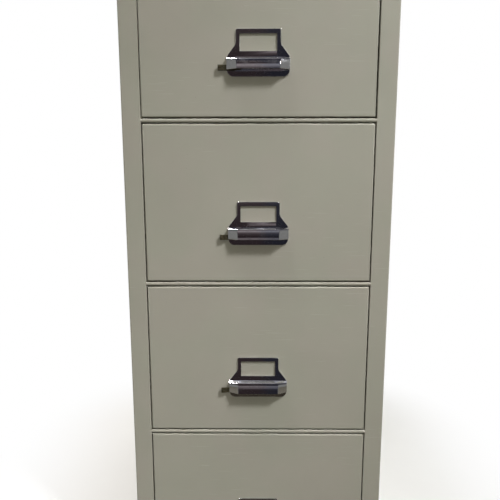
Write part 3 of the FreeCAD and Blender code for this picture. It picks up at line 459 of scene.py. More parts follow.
FINISHES: dict[str, Finish] = {
    "paint": Enamel("putty_enamel", tone(151, 148, 138), roughness=0.40),
    "inner_paint": Enamel("inner_enamel", tone(138, 135, 122), roughness=0.44, wave=0.4 * MM, scuffs=2.2),
    "chrome": Chrome("bright_chrome", tone(226, 226, 229), roughness=0.055, metallic=1.0),
    "bronze": Bronzed("dark_bronze", tone(70, 66, 50), roughness=0.46, metallic=0.55),
    "steel": Steel("zinc_steel", tone(196, 197, 197), roughness=0.34, metallic=1.0),
    "mineral_fill": CastFill("mineral_fill", tone(198, 194, 184), roughness=0.86),
}


class Paintshop:
    """Makes each finish's material once and puts it on pieces."""

    def __init__(self) -> None:
        """Makes all materials."""
        self.pots = {slot: finish.material() for slot, finish in FINISHES.items()}

    def dress(self, item: bpy.types.Object, slot: str) -> None:
        """Gives a piece or a CAD node the finish of a material slot, in place of what it had."""
        item.data.materials.clear()
        item.data.materials.append(self.pots[slot])

    def dress_nodes(self) -> None:
        """Gives every CAD node that still shows the finish of its slot."""
        for row in frame["record"]["subparts"]:
            node = frame["nodes"][row["node"]]
            if not node.hide_render:
                self.dress(node, row["material_slot"])
                LOG.info("%s keeps its CAD shape, in %s", node.name, row["material_slot"])


# Modelling


class Kind(Enum):
    """What is picked on a workpiece."""

    FACE = "FACE"
    EDGE = "EDGE"
    POINT = "VERT"


def edge_facts(edge: bmesh.types.BMEdge) -> tuple[Vector, Vector, float]:
    """Gives an edge's middle, its direction and the turn between its faces."""
    start, end = (point.co for point in edge.verts)
    return (start + end) / 2, (end - start).normalized(), edge.calc_face_angle(math.pi)


class Workpiece:
    """A mesh that is started from a primitive and shaped in edit mode.

    A test of faces takes a middle and a normal, a test of points takes the point, and a test of
    edges takes a middle, a direction and the turn between the edge's faces.
    """

    def __init__(self, name: str) -> None:
        """Takes over the primitive that was just added."""
        self.item = adopt(name)

    @classmethod
    def block(cls, name: str, corner: Vector, opposite: Vector) -> "Workpiece":
        """Starts a piece from a block.

        Args:
            name: the piece's name.
            corner: one corner.
            opposite: the corner across.

        Returns:
            The piece.
        """
        deselect()
        size = [abs(a - b) for a, b in zip(corner, opposite)]
        bpy.ops.mesh.primitive_cube_add(size=1.0, location=(corner + opposite) / 2, scale=size)
        return cls(name)

    @classmethod
    def cutter(cls, middle: Vector, *half: float) -> "Workpiece":
        """Makes a block to cut with, from its middle and half its sizes."""
        return cls.block("tool", middle - Vector(half), middle + Vector(half))

    @classmethod
    def rod(cls, name: str, start: Vector, end: Vector, radius: float, sides: int = 48) -> "Workpiece":
        """Starts a piece from a cylinder.

        Args:
            name: the piece's name.
            start: the middle of one end.
            end: the middle of the other end.
            radius: the cylinder's radius.
            sides: how many flats it has.

        Returns:
            The piece.
        """
        deselect()
        along = end - start
        turn = Vector(Z).rotation_difference(along).to_euler()
        bpy.ops.mesh.primitive_cylinder_add(
            vertices=sides, radius=radius, depth=along.length, location=(start + end) / 2, rotation=turn
        )
        return cls(name)

    @classmethod
    def tube(cls, name: str, start: Vector, end: Vector, outer: float, inner: float) -> "Workpiece":
        """Starts a piece from a cylinder with a bore.

        Args:
            name: the piece's name.
            start: the middle of one end.
            end: the middle of the other end.
            outer: the outer radius.
            inner: the bore's radius.

        Returns:
            The piece.
        """
        piece = cls.rod(name, start, end, outer, 64)
        along = (end - start).normalized()
        with piece.shaping():
            piece.pick(Kind.FACE, lambda at, way: abs(way.dot(along)) > ALONG)
            bpy.ops.mesh.inset(thickness=outer - inner, use_individual=True)
            bpy.ops.mesh.bridge_edge_loops()
        return piece

    @contextmanager
    def shaping(self) -> Iterator[None]:
        """Keeps the piece in edit mode, all selected at first, for as long as the block lasts."""
        self.select()
        bpy.ops.object.mode_set(mode="EDIT")
        bpy.ops.mesh.select_all(action="SELECT")
        yield
        bpy.ops.object.mode_set(mode="OBJECT")

    def select(self) -> None:
        """Makes the piece the only selected one."""
        deselect()
        self.item.select_set(True)
        bpy.context.view_layer.objects.active = self.item

    def pick(self, kind: Kind, wanted: Test) -> None:
        """Selects faces, edges or points in edit mode.

        Args:
            kind: what is selected.
            wanted: the test that they pass.
        """
        bpy.ops.mesh.select_all(action="DESELECT")
        bpy.ops.mesh.select_mode(type=kind.value)
        shape = bmesh.from_edit_mesh(self.item.data)
        shape.normal_update()
        if kind is Kind.FACE:
            rows = [(face, face.calc_center_median(), face.normal) for face in shape.faces]
        elif kind is Kind.POINT:
            rows = [(point, point.co) for point in shape.verts]
        else:
            rows = [(edge, *edge_facts(edge)) for edge in shape.edges]
        chosen = [element for element, *facts in rows if wanted(*facts)]
        if not chosen:
            raise ValueError(f"{self.item.name}: nothing to pick")
        for element in chosen:
            element.select_set(True)
        shape.select_flush_mode()
        bmesh.update_edit_mesh(self.item.data)

    def drop(self, wanted: Test) -> None:
        """Deletes the faces that pass a test."""
        self.pick(Kind.FACE, wanted)
        bpy.ops.mesh.delete(type="FACE")

    def slice(self, point: Vector, normal: Numbers, wanted: Test = lambda at, way: True) -> None:
        """Cuts new edges along a plane into the faces that pass a test, or into all."""
        self.pick(Kind.FACE, wanted)
        bpy.ops.mesh.bisect(plane_co=point, plane_no=normal)

    def round(self, wanted: Test, radius: float, steps: int) -> None:
        """Rounds the edges that pass a test, each with this many flats."""
        self.pick(Kind.EDGE, wanted)
        bpy.ops.mesh.bevel(offset=radius, segments=steps, profile=0.5, affect="EDGES")

    def weigh(self, wanted: Test, weight: float) -> None:
        """Gives the edges that pass a test their share of a later rounding."""
        self.pick(Kind.EDGE, wanted)
        bpy.ops.transform.edge_bevelweight(value=weight)

    def move(self, *way: float) -> None:
        """Moves what is picked."""
        bpy.ops.transform.translate(value=way)

    def extrude(self, *way: float) -> None:
        """Draws new faces out of what is picked, and leaves their far end picked."""
        bpy.ops.mesh.extrude_region_move(TRANSFORM_OT_translate={"value": way})

    def spread(self, factors: Numbers, about: Vector) -> None:
        """Scales what is picked along each axis about a point."""
        bpy.ops.transform.resize(value=factors, center_override=about)

    def face_out(self) -> None:
        """Turns all faces outwards, in edit mode."""
        bpy.ops.mesh.select_all(action="SELECT")
        bpy.ops.mesh.normals_make_consistent(inside=False)

    def modifier(self, kind: str, **settings: Any) -> None:
        """Adds a modifier, sets it and applies it.

        Args:
            kind: the modifier's type.
            settings: its properties.
        """
        self.select()
        bpy.ops.object.modifier_add(type=kind)
        made = self.item.modifiers[-1]
        for name, value in settings.items():
            setattr(made, name, value)
        bpy.ops.object.modifier_apply(modifier=made.name)

    def thicken(self, wall: float) -> None:
        """Gives an open sheet a wall on its inner side."""
        self.modifier("SOLIDIFY", thickness=wall, offset=-1.0, use_even_offset=True)

    def soften(self, width: float, steps: int = 2) -> None:
        """Breaks all sharp edges, each with this many flats."""
        self.modifier("BEVEL", width=width, segments=steps, limit_method="ANGLE", angle_limit=BREAK_ANGLE)

    def carve(self, *tools: "Workpiece") -> None:
        """Cuts other pieces out of this one and throws them away.

        Args:
            tools: the pieces that are cut out.
        """
        for tool in tools:
            self.modifier("BOOLEAN", operation="DIFFERENCE", solver="EXACT", object=tool.item)
            bpy.data.objects.remove(tool.item)

    def join(self, *others: "Workpiece") -> None:
        """Takes other pieces into this one's mesh.

        Args:
            others: the pieces that are taken in.
        """
        self.select()
        for other in others:
            other.item.select_set(True)
        bpy.ops.object.join()

    def copy(self, name: str, shift: Vector) -> "Workpiece":
        """Copies the piece, mesh and all, to another place.

        Args:
            name: the copy's name.
            shift: how far it is moved.

        Returns:
            The copy.
        """
        self.select()
        bpy.ops.object.duplicate(linked=False)
        bpy.ops.transform.translate(value=shift)
        return Workpiece(name)

    def hand_in(self, shop: Paintshop, slot: str, body: str, node: str) -> None:
        """Finishes the piece: curved faces smooth and wide flat ones flat, finish, body and node.

        Args:
            shop: what dresses it.
            slot: the record's material slot.
            body: the CAD body that it rides on.
            node: the CAD node that it replaces.
        """
        self.select()
        bpy.ops.object.shade_smooth_by_angle(angle=SMOOTH_ANGLE)
        self.modifier("WEIGHTED_NORMAL", keep_sharp=True, weight=FLATNESS)
        shop.dress(self.item, slot)
        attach(self.item, body)
        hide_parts(node)
        count = sum(len(face.vertices) - 2 for face in self.item.data.polygons)
        LOG.info("%s rides on %s, %d triangles", self.item.name, body, count)


# The case


@dataclass
class Case:
    """The steel wrap, the strips between the drawers, the rear screws and the lock."""

    shop: Paintshop
    sheet: float = 1.2 * MM
    corner: float = 3.5 * MM
    lip: float = 0.9 * MM
    strip_edge: float = 3.0 * MM
    face_gap: float = 2.2 * MM
    flange: float = 15.0 * MM
    lock_hole: float = 9.6 * MM
    lock_hole_reach: float = 20.0 * MM
    bolt_hole_half: Triple = (4.0 * MM, 3.5 * MM, 5.5 * MM)
    bolt_depth: float = 11.0 * MM
    screw_rows: int = 6
    screw_radius: float = 4.0 * MM
    dome: float = 0.45
    shank: Pair = (2.0 * MM, 2.3 * MM)
    recess: Triple = (2.1 * MM, 1.1 * MM, 0.45 * MM)

    def build(self) -> None:
        """Builds and dresses everything on the case."""
        self.low, self.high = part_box("case_shell")
        self.strips_low, self.strips_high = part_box("divider_rails")
        self.front = self.low.y
        self.build_wrap()
        self.build_strips()
        self.build_rear_screws()
        Lock(self.shop).build()

    def build_wrap(self) -> None:
        """Makes sides, top and front frame in one sheet."""
        left, right = self.strips_low.x, self.strips_high.x
        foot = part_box("drawer_4_front")[0].z - self.face_gap
        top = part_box("drawer_1_front")[1].z + self.face_gap

        def mouth(at: Vector, way: Vector, turn: float) -> bool:
            """Tells whether an edge of the front frame runs around the drawers."""
            around = near(at.x, left, right) or near(at.z, foot, top)
            return around and near(at.y, self.front) and turn > SHARP

        wrap = Workpiece.block("case_wrap", self.low, self.high)
        with wrap.shaping():
            wrap.drop(lambda at, way: way.z < -ALONG or way.y > ALONG)
            for point, way in (((left, 0, 0), X), ((right, 0, 0), X), ((0, 0, foot), Z), ((0, 0, top), Z)):
                wrap.slice(Vector(point), way, lambda at, normal: near(at.y, self.front))
            wrap.drop(lambda at, way: near(at.y, self.front) and left < at.x < right and foot < at.z < top)
            wrap.pick(Kind.EDGE, mouth)
            wrap.extrude(0, self.strips_high.y - self.front, 0)
            wrap.pick(Kind.EDGE, lambda at, way, turn: near(at.y, self.high.y))
            wrap.extrude(0, 0, 0)
            size = self.high - self.low
            inwards = (1 - 2 * self.flange / size.x, 1, 1 - self.flange / size.z)
            wrap.spread(inwards, Vector((0, self.high.y, self.low.z)))
            wrap.round(self.outer_edge, self.corner, 6)
            wrap.round(mouth, self.lip, 3)
        wrap.thicken(self.sheet)
        wrap.carve(*self.hole_tools(left))
        wrap.hand_in(self.shop, "paint", "case", "case_shell")

    def outer_edge(self, at: Vector, way: Vector, turn: float) -> bool:
        """Tells whether an edge runs between two of the front, the top and the sides."""
        faces = (near(at.y, self.front), near(at.z, self.high.z), near(abs(at.x), self.high.x))
        return sum(faces) > 1

    def hole_tools(self, jamb: float) -> list[Workpiece]:
        """Makes the tools for the lock's hole and the four bolt holes in the left jamb.

        Args:
            jamb: the jamb's place.

        Returns:
            The tools.
        """
        low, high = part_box("lock_cylinder")
        face = Vector(((low.x + high.x) / 2, self.front, (low.z + high.z) / 2))
        reach = Vector((0, self.lock_hole_reach, 0))
        tools = [Workpiece.rod("tool", face - reach, face + reach, self.lock_hole)]
        for number in DRAWERS:
            low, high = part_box(f"drawer_{number}_thumb_latch")
            middle = Vector((jamb, self.front + self.bolt_depth, (low.z + high.z) / 2))
            tools.append(Workpiece.cutter(middle, *self.bolt_hole_half))
        return tools

    def build_strips(self) -> None:
        """Makes the three strips between the drawers."""
        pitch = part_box("drawer_1_front")[0].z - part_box("drawer_2_front")[0].z
        low, high = self.strips_low, self.strips_high
        rise = high.z - low.z - 2 * pitch
        strip = Workpiece.block("rail_strips", low, Vector((high.x, high.y, low.z + rise)))
        with strip.shaping():
            strip.drop(lambda at, way: way.y > ALONG or abs(way.x) > ALONG)
            strip.round(
                lambda at, way, turn: near(at.y, self.front) and abs(way.x) > ALONG, self.strip_edge, 8
            )
        strip.thicken(self.sheet)
        strip.join(*[strip.copy("strip", Vector((0, 0, pitch * step))) for step in (1, 2)])
        strip.hand_in(self.shop, "paint", "case", "divider_rails")

    def build_rear_screws(self) -> None:
        """Makes the two columns of screws of the rear panel."""
        low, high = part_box("case_screws")
        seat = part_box("case_back")[1].y
        width = high.x - low.x - 2 * self.screw_radius
        step = (high.z - low.z - 2 * self.screw_radius) / (self.screw_rows - 1)
        middle = Vector((low.x + self.screw_radius, seat, low.z + self.screw_radius))
        first = self.screw(middle, high.y - seat)
        spots = [(side, row) for row in range(self.screw_rows) for side in (0, 1)]
        shifts = [Vector((side * width, 0, row * step)) for side, row in spots]
        first.join(*[first.copy("screw", shift) for shift in shifts[1:]])
        first.hand_in(self.shop, "steel", "case", "case_screws")

    def screw(self, seat: Vector, rise: float) -> Workpiece:
        """Makes a screw with a rounded head and a cross recess, which points into the case.

        Args:
            seat: the middle of the head's underside.
            rise: the head's height.

        Returns:
            The screw.
        """
        centre = seat + Vector((0, rise, 0))
        head = Workpiece.rod("rear_screws", seat, centre, self.screw_radius, 24)
        with head.shaping():
            head.round(lambda at, way, turn: near(at.y, centre.y), rise * self.dome, 3)
        arm, depth, slot = self.recess
        head.carve(Workpiece.cutter(centre, arm, depth, slot), Workpiece.cutter(centre, slot, depth, arm))
        radius, length = self.shank
        head.join(Workpiece.rod("shank", seat - Vector((0, length, 0)), seat, radius, 16))
        return head


@dataclass
class Lock:
    """The push lock at the top right: a barrel with its bezel, and the button in it."""

    shop: Paintshop
    bezel: float = 2.0 * MM
    bezel_radius: float = 11.0 * MM
    bezel_edge: float = 0.6 * MM
    barrel_radius: float = 9.5 * MM
    nut: Pair = (1.2 * MM, 5.2 * MM)
    button_radius: float = 7.5 * MM
    button_end: float = 36.0 * MM
    button_edge: float = 0.9 * MM
    fit: float = 0.05 * MM
    slot_half: Triple = (0.8 * MM, 9.0 * MM, 3.5 * MM)
    ring_radii: Pair = (5.6 * MM, 5.0 * MM)
    ring_depth: Pair = (-0.5 * MM, 0.4 * MM)
    rod_radius: float = 5.0 * MM
    cam_steel: float = 3.2 * MM
    cam_inset: float = 5.2 * MM
    cam_drop: float = 5.0 * MM
    cam_edge: float = 0.4 * MM
    cam_slot_half: Triple = (4.0 * MM, 9.6 * MM, 2.7 * MM)

    def build(self) -> None:
        """Builds the barrel, and the button with its rod and cam plate."""
        low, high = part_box("lock_cylinder")
        self.middle = (low + high) / 2
        self.front = low.y + self.bezel
        self.build_barrel(high.y)
        self.build_button()

    def at(self, depth: float) -> Vector:
        """Gives a point on the lock's axis, behind the case's front."""
        return Vector((self.middle.x, self.front + depth, self.middle.z))

    def build_barrel(self, rear: float) -> None:
        """Makes the barrel, its bezel and the nut behind the steel.

        Args:
            rear: where the barrel ends.
        """
        bore = self.button_radius + self.fit
        bezel = Workpiece.tube("lock_barrel", self.at(-self.bezel), self.at(0), self.bezel_radius, bore)
        foremost = self.front - self.bezel
        with bezel.shaping():
            bezel.round(lambda at, way, turn: near(at.y, foremost) and turn > SHARP, self.bezel_edge, 3)
        barrel = Workpiece.tube("barrel", self.at(0), self.at(rear - self.front), self.barrel_radius, bore)
        start, end = self.nut
        nut = Workpiece.tube("nut", self.at(start), self.at(end), self.bezel_radius, self.barrel_radius)
        bezel.join(barrel, nut)
        bezel.hand_in(self.shop, "chrome", "case", "lock_cylinder")

    def build_button(self) -> None:
        """Makes the button with its keyway and ring, the rod behind it and the cam plate."""
        low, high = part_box("lock_plunger")
        face = Vector((self.middle.x, low.y, self.middle.z))
        button = Workpiece.rod("lock_button", face, self.at(self.button_end), self.button_radius, 64)
        with button.shaping():
            button.round(lambda at, way, turn: near(at.y, low.y), self.button_edge, 4)
        ring_ends = [face + Vector((0, depth, 0)) for depth in self.ring_depth]
        ring = Workpiece.tube("tool", *ring_ends, *self.ring_radii)
        button.carve(Workpiece.cutter(face, *self.slot_half), ring)
        rod = Workpiece.rod("rod", self.at(self.button_end), self.at(high.y - self.front), self.rod_radius)
        button.join(rod, self.build_cam(low, high))
        button.hand_in(self.shop, "chrome", "lock_plunger", "lock_plunger")

    def build_cam(self, low: Vector, high: Vector) -> Workpiece:
        """Makes the cam plate, whose slanted slot lies over the lock bar's pin.

        Args:
            low: the plunger's low corner.
            high: its high corner.

        Returns:
            The plate.
        """
        side = self.middle.x - self.cam_inset
        bar_low, bar_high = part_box("lock_bar")
        depth = (bar_low.y + bar_high.y) / 2 - self.cam_drop
        cam = Workpiece.block(
            "cam",
            Vector((side, 2 * depth - high.y, low.z)),
            Vector((side + self.cam_steel, high.y, self.middle.z + self.cam_drop)),
        )
        middle = Vector((side + self.cam_steel / 2, depth, self.middle.z - self.cam_drop))
        slot = Workpiece.cutter(middle, *self.cam_slot_half)
        with slot.shaping():
            bpy.ops.transform.rotate(value=math.radians(45), orient_axis="X", center_override=middle)
        cam.carve(slot)
        cam.soften(self.cam_edge)
        return cam


# The drawers


@dataclass
class DrawerPart:
    """What the parts of one drawer share: what dresses them and the drawer's number."""

    shop: Paintshop
    number: int

    def name(self, piece: str) -> str:
        """Gives the full name of one of the drawer's pieces or CAD nodes."""
        return f"drawer_{self.number}_{piece}"

    def box(self, node: str) -> tuple[Vector, Vector]:
        """Gives the low and the high corner of one of the drawer's CAD nodes."""
        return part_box(self.name(node))

    def hand_in(self, piece: Workpiece, slot: str, node: str, body: str = "drawer") -> None:
        """Finishes a piece that stands for one of the drawer's CAD nodes."""
        piece.hand_in(self.shop, slot, f"{body}_{self.number}", self.name(node))


@dataclass
class Face(DrawerPart):
    """The pan of the drawer's front: rounded, with its edges turned back."""

    sheet: float = 1.2 * MM
    edge: float = 3.0 * MM
    corner: float = 1.2 * MM
    hole_reach: float = 4.0 * MM
    hole_play: float = 0.25 * MM

    def build(self) -> None:
        """Builds the pan."""
        low, high = self.box("front")
        face = Workpiece.block(self.name("face"), low, high)
        with face.shaping():
            face.drop(lambda at, way: way.y > ALONG)
            face.round(lambda at, way, turn: near(at.y, low.y), self.edge, 8)
            face.round(lambda at, way, turn: abs(way.y) > ALONG and turn > SHARP, self.corner, 3)
        face.thicken(self.sheet)
        face.carve(self.bolt_hole(low))
        self.hand_in(face, "paint", "front")

    def bolt_hole(self, corner: Vector) -> Workpiece:
        """Makes the tool for the latch bar's hole in the pan's left side.

        Args:
            corner: the pan's low corner.

        Returns:
            The tool.
        """
        low, high = self.box("thumb_latch")
        depth = corner.y + ThumbLatch.depth + ThumbLatch.thickness / 2
        deep, tall = ThumbLatch.thickness / 2 + self.hole_play, ThumbLatch.height / 2 + self.hole_play
        return Workpiece.cutter(Vector((corner.x, depth, (low.z + high.z) / 2)), self.hole_reach, deep, tall)


@dataclass
class Pull(DrawerPart):
    """The plated casting: a label frame with sloping shoulders and a hood with a straight grip.

    Places on it are given across from its middle, in front of the face and below its top.
    """

    frame_width: float = 85.0 * MM
    side: float = 27.0 * MM
    shoulder: float = 49.4 * MM
    frame_corner: float = 3.2 * MM
    side_corner: float = 4.5 * MM
    shoulder_corner: float = 2.4 * MM
    foot_corner: float = 12.0 * MM
    plate: float = 2.4 * MM
    edge: float = 0.9 * MM
    window: Pair = (70.0 * MM, 31.4 * MM)
    window_drop: float = 8.5 * MM
    window_edge: float = 0.5 * MM
    sill_edge: float = 1.2 * MM
    grip_width: float = 82.0 * MM
    cheek_reach: float = 6.6 * MM
    wall: float = 1.8 * MM
    root: Pair = (1.6 * MM, 49.6 * MM)
    ridge: Pair = (8.9 * MM, 53.7 * MM)
    lip: Pair = (16.9 * MM, 73.7 * MM)
    ridge_tilt: float = 36.0
    lip_tilt: float = 10.0
    curve_steps: int = 14
    fold: float = 1.2 * MM
    ridge_share: float = 0.8
    lip_share: float = 0.6
    notch: Pair = (5.2 * MM, 5.75 * MM)
    notch_drop: float = 70.0 * MM

    def build(self) -> None:
        """Builds the casting and puts it on its drawer."""
        low, high = self.box("handle")
        self.middle = (low.x + high.x) / 2
        self.front = high.y
        self.top = high.z
        self.half = (high.x - low.x) / 2
        self.height = high.z - low.z
        self.sill = self.window_drop + self.window[1]
        plate = self.build_plate()
        plate.join(self.build_hood())
        self.hand_in(plate, "chrome", "handle")

    def at(self, across: float, reach: float, drop: float) -> Vector:
        """Gives a point by its place on the pull."""
        return Vector((self.middle + across, self.front - reach, self.top - drop))

    def corners(self, across: float, drop: float) -> Test:
        """Gives a test for the edges from front to back, on both sides, at a place of the outline."""
        spots = (self.middle - across, self.middle + across)
        return lambda at, way, turn: abs(way.y) > ALONG and near(at.x, *spots) and near(self.top - at.z, drop)

    def build_plate(self) -> Workpiece:
        """Makes the plate: the label frame above and the shoulders and the foot below.

        Returns:
            The plate.
        """
        corner, opposite = self.at(-self.half, 0, self.height), self.at(self.half, self.plate, 0)
        plate = Workpiece.block(self.name("pull"), corner, opposite)
        frame_half = self.frame_width / 2
        with plate.shaping():
            for drop in (self.side, self.shoulder):
                plate.slice(self.at(0, 0, drop), Z)
            plate.pick(Kind.POINT, lambda at: self.top - at.z < self.side + NEAR)
            plate.spread((frame_half / self.half, 1, 1), self.at(0, 0, 0))
            plate.round(self.corners(frame_half, 0), self.frame_corner, 3)
            plate.round(self.corners(frame_half, self.side), self.side_corner, 5)
            plate.round(self.corners(self.half, self.shoulder), self.shoulder_corner, 4)
            plate.round(self.corners(self.half, self.height), self.foot_corner, 8)
            self.cut_window(plate)
            plate.round(self.rim(lambda at: not self.in_window(at)), self.edge, 4)
            plate.round(self.rim(lambda at: self.in_window(at) and not self.on_sill(at)), self.window_edge, 3)
            plate.round(self.rim(self.on_sill), self.sill_edge, 4)
        return plate

    def rim(self, wanted: Test) -> Test:
        """Gives a test for the sharp edges of the plate's front whose middle passes another test."""
        return lambda at, way, turn: near(at.y, self.front - self.plate) and turn > SHARP and wanted(at)

    def on_sill(self, at: Vector) -> bool:
        """Tells whether a point is as low as the window's lower edge."""
        return near(self.top - at.z, self.sill)

    def in_window(self, at: Vector) -> bool:
        """Tells whether a point is in the label window or on its outline."""
        inside = abs(at.x - self.middle) < self.window[0] / 2 + NEAR
        return inside and self.window_drop - NEAR < self.top - at.z < self.sill + NEAR

    def cut_window(self, plate: Workpiece) -> None:
        """Opens the label window.

        Args:
            plate: the plate, in edit mode.
        """
        for across in (-self.window[0] / 2, self.window[0] / 2):
            plate.slice(self.at(across, 0, 0), X)
        for drop in (self.window_drop, self.sill):
            plate.slice(self.at(0, 0, drop), Z)
        plate.drop(lambda at, way: abs(way.y) > ALONG and self.in_window(at))
        plate.pick(Kind.EDGE, lambda at, way, turn: turn > OPEN and self.in_window(at))
        bpy.ops.mesh.bridge_edge_loops()

    def build_hood(self) -> Workpiece:
        """Makes the hood: a bent sheet with a straight grip and a slanted cheek at each end.

        Returns:
            The hood.
        """
        deselect()
        start, fold = self.at(0, *self.root), self.at(0, *self.ridge)
        half_plane = 0.5
        bpy.ops.mesh.primitive_plane_add(size=2 * half_plane, location=start)
        hood = Workpiece("hood")
        front_edge = start.y - half_plane
        with hood.shaping():
            hood.spread((self.grip_width, 1, 1), start)
            hood.pick(Kind.POINT, lambda at: at.y > start.y)
            hood.move(0, -half_plane, 0)
            hood.pick(Kind.POINT, lambda at: near(at.y, front_edge))
            hood.move(0, fold.y - front_edge, fold.z - start.z)
            here = self.ridge
            for there in self.curve():
                spot = self.at(0, *here)
                hood.pick(
                    Kind.EDGE,
                    lambda at, way, turn: abs(way.x) > ALONG and near(at.y, spot.y) and near(at.z, spot.z),
                )
                hood.extrude(0, here[0] - there[0], here[1] - there[1])
                here = there
            self.draw_cheeks(hood)
            self.cut_notch(hood)
            hood.face_out()
        foremost = min(hood.item.data.polygons, key=lambda face: face.center.y)
        if foremost.normal.y > 0:
            with hood.shaping():
                bpy.ops.mesh.flip_normals()
        hood.thicken(self.wall)
        self.break_edges(hood)
        return hood

    def curve(self) -> list[Pair]:
        """Gives the grip's section from the ridge to the lip, whose slope changes evenly.

        Returns:
            Points as reach and drop, without the ridge and with the lip.
        """
        change = (self.lip_tilt - self.ridge_tilt) / self.curve_steps
        tilts = [math.radians(self.ridge_tilt + change * (step + 0.5)) for step in range(self.curve_steps)]
        reach_gain = (self.lip[0] - self.ridge[0]) / sum(math.sin(tilt) for tilt in tilts)
        drop_gain = (self.lip[1] - self.ridge[1]) / sum(math.cos(tilt) for tilt in tilts)
        reach, drop = self.ridge
        points = []
        for tilt in tilts:
            reach += reach_gain * math.sin(tilt)
            drop += drop_gain * math.cos(tilt)
            points.append((reach, drop))
        return points

    def draw_cheeks(self, hood: Workpiece) -> None:
        """Draws the cheeks and the end walls out of the grip's ends.

        Args:
            hood: the hood, in edit mode.
        """
        grip_half = self.grip_width / 2
        ends = (self.middle - self.half, self.middle + self.half)
        cheek, root = self.at(0, self.cheek_reach, 0), self.at(0, self.root[0], 0)
        hood.pick(Kind.EDGE, lambda at, way, turn: near(abs(at.x - self.middle), grip_half))
        hood.extrude(0, 0, 0)
        hood.spread((self.half / grip_half, 1, 1), self.at(0, 0, 0))
        hood.pick(Kind.POINT, lambda at: near(at.x, *ends) and at.y < root.y - NEAR)
        hood.spread((1, 0, 1), cheek)
        hood.pick(Kind.EDGE, lambda at, way, turn: near(at.x, *ends) and near(at.y, cheek.y))
        hood.extrude(0, 0, 0)
        hood.spread((1, 0, 1), root)
        bpy.ops.mesh.select_all(action="SELECT")
        bpy.ops.mesh.remove_doubles(threshold=NEAR)

    def cut_notch(self, hood: Workpiece) -> None:
        """Opens the left end wall for the thumb latch.

        Args:
            hood: the hood, in edit mode.
        """
        reach, tall = self.notch
        end = self.middle - self.half
        for point, normal in (
            (self.at(0, 0, self.notch_drop - tall), Z),
            (self.at(0, 0, self.notch_drop + tall - 2 * self.wall), Z),
            (self.at(0, reach, 0), Y),
        ):
            hood.slice(point, normal, lambda at, way: near(at.x, end) and abs(way.x) > ALONG)
        hood.drop(
            lambda at, way: near(at.x, end)
            and abs(way.x) > ALONG
            and self.front - at.y < reach
            and abs(self.top - at.z - self.notch_drop) < tall
        )

    def break_edges(self, hood: Workpiece) -> None:
        """Rounds the folds, each by its own share of the fold's radius.

        Args:
            hood: the hood, with its wall.
        """
        grip_half = self.grip_width / 2
        with hood.shaping():
            for place, share in ((self.ridge, self.ridge_share), (self.lip, self.lip_share)):
                spot = self.at(0, *place)
                hood.weigh(
                    lambda at, way, turn: abs(way.x) > SHARP
                    and near(at.z, spot.z)
                    and self.front - at.y > self.cheek_reach - NEAR
                    and (near(at.y, spot.y) or abs(at.x - self.middle) > grip_half),
                    share,
                )
            hood.weigh(
                lambda at, way, turn: near(abs(at.x - self.middle), grip_half)
                and abs(way.x) < ACROSS
                and turn > BENT
                and self.front - at.y > self.cheek_reach,
                1.0,
            )
        hood.modifier("BEVEL", width=self.fold, segments=4, limit_method="WEIGHT", use_clamp_overlap=True)


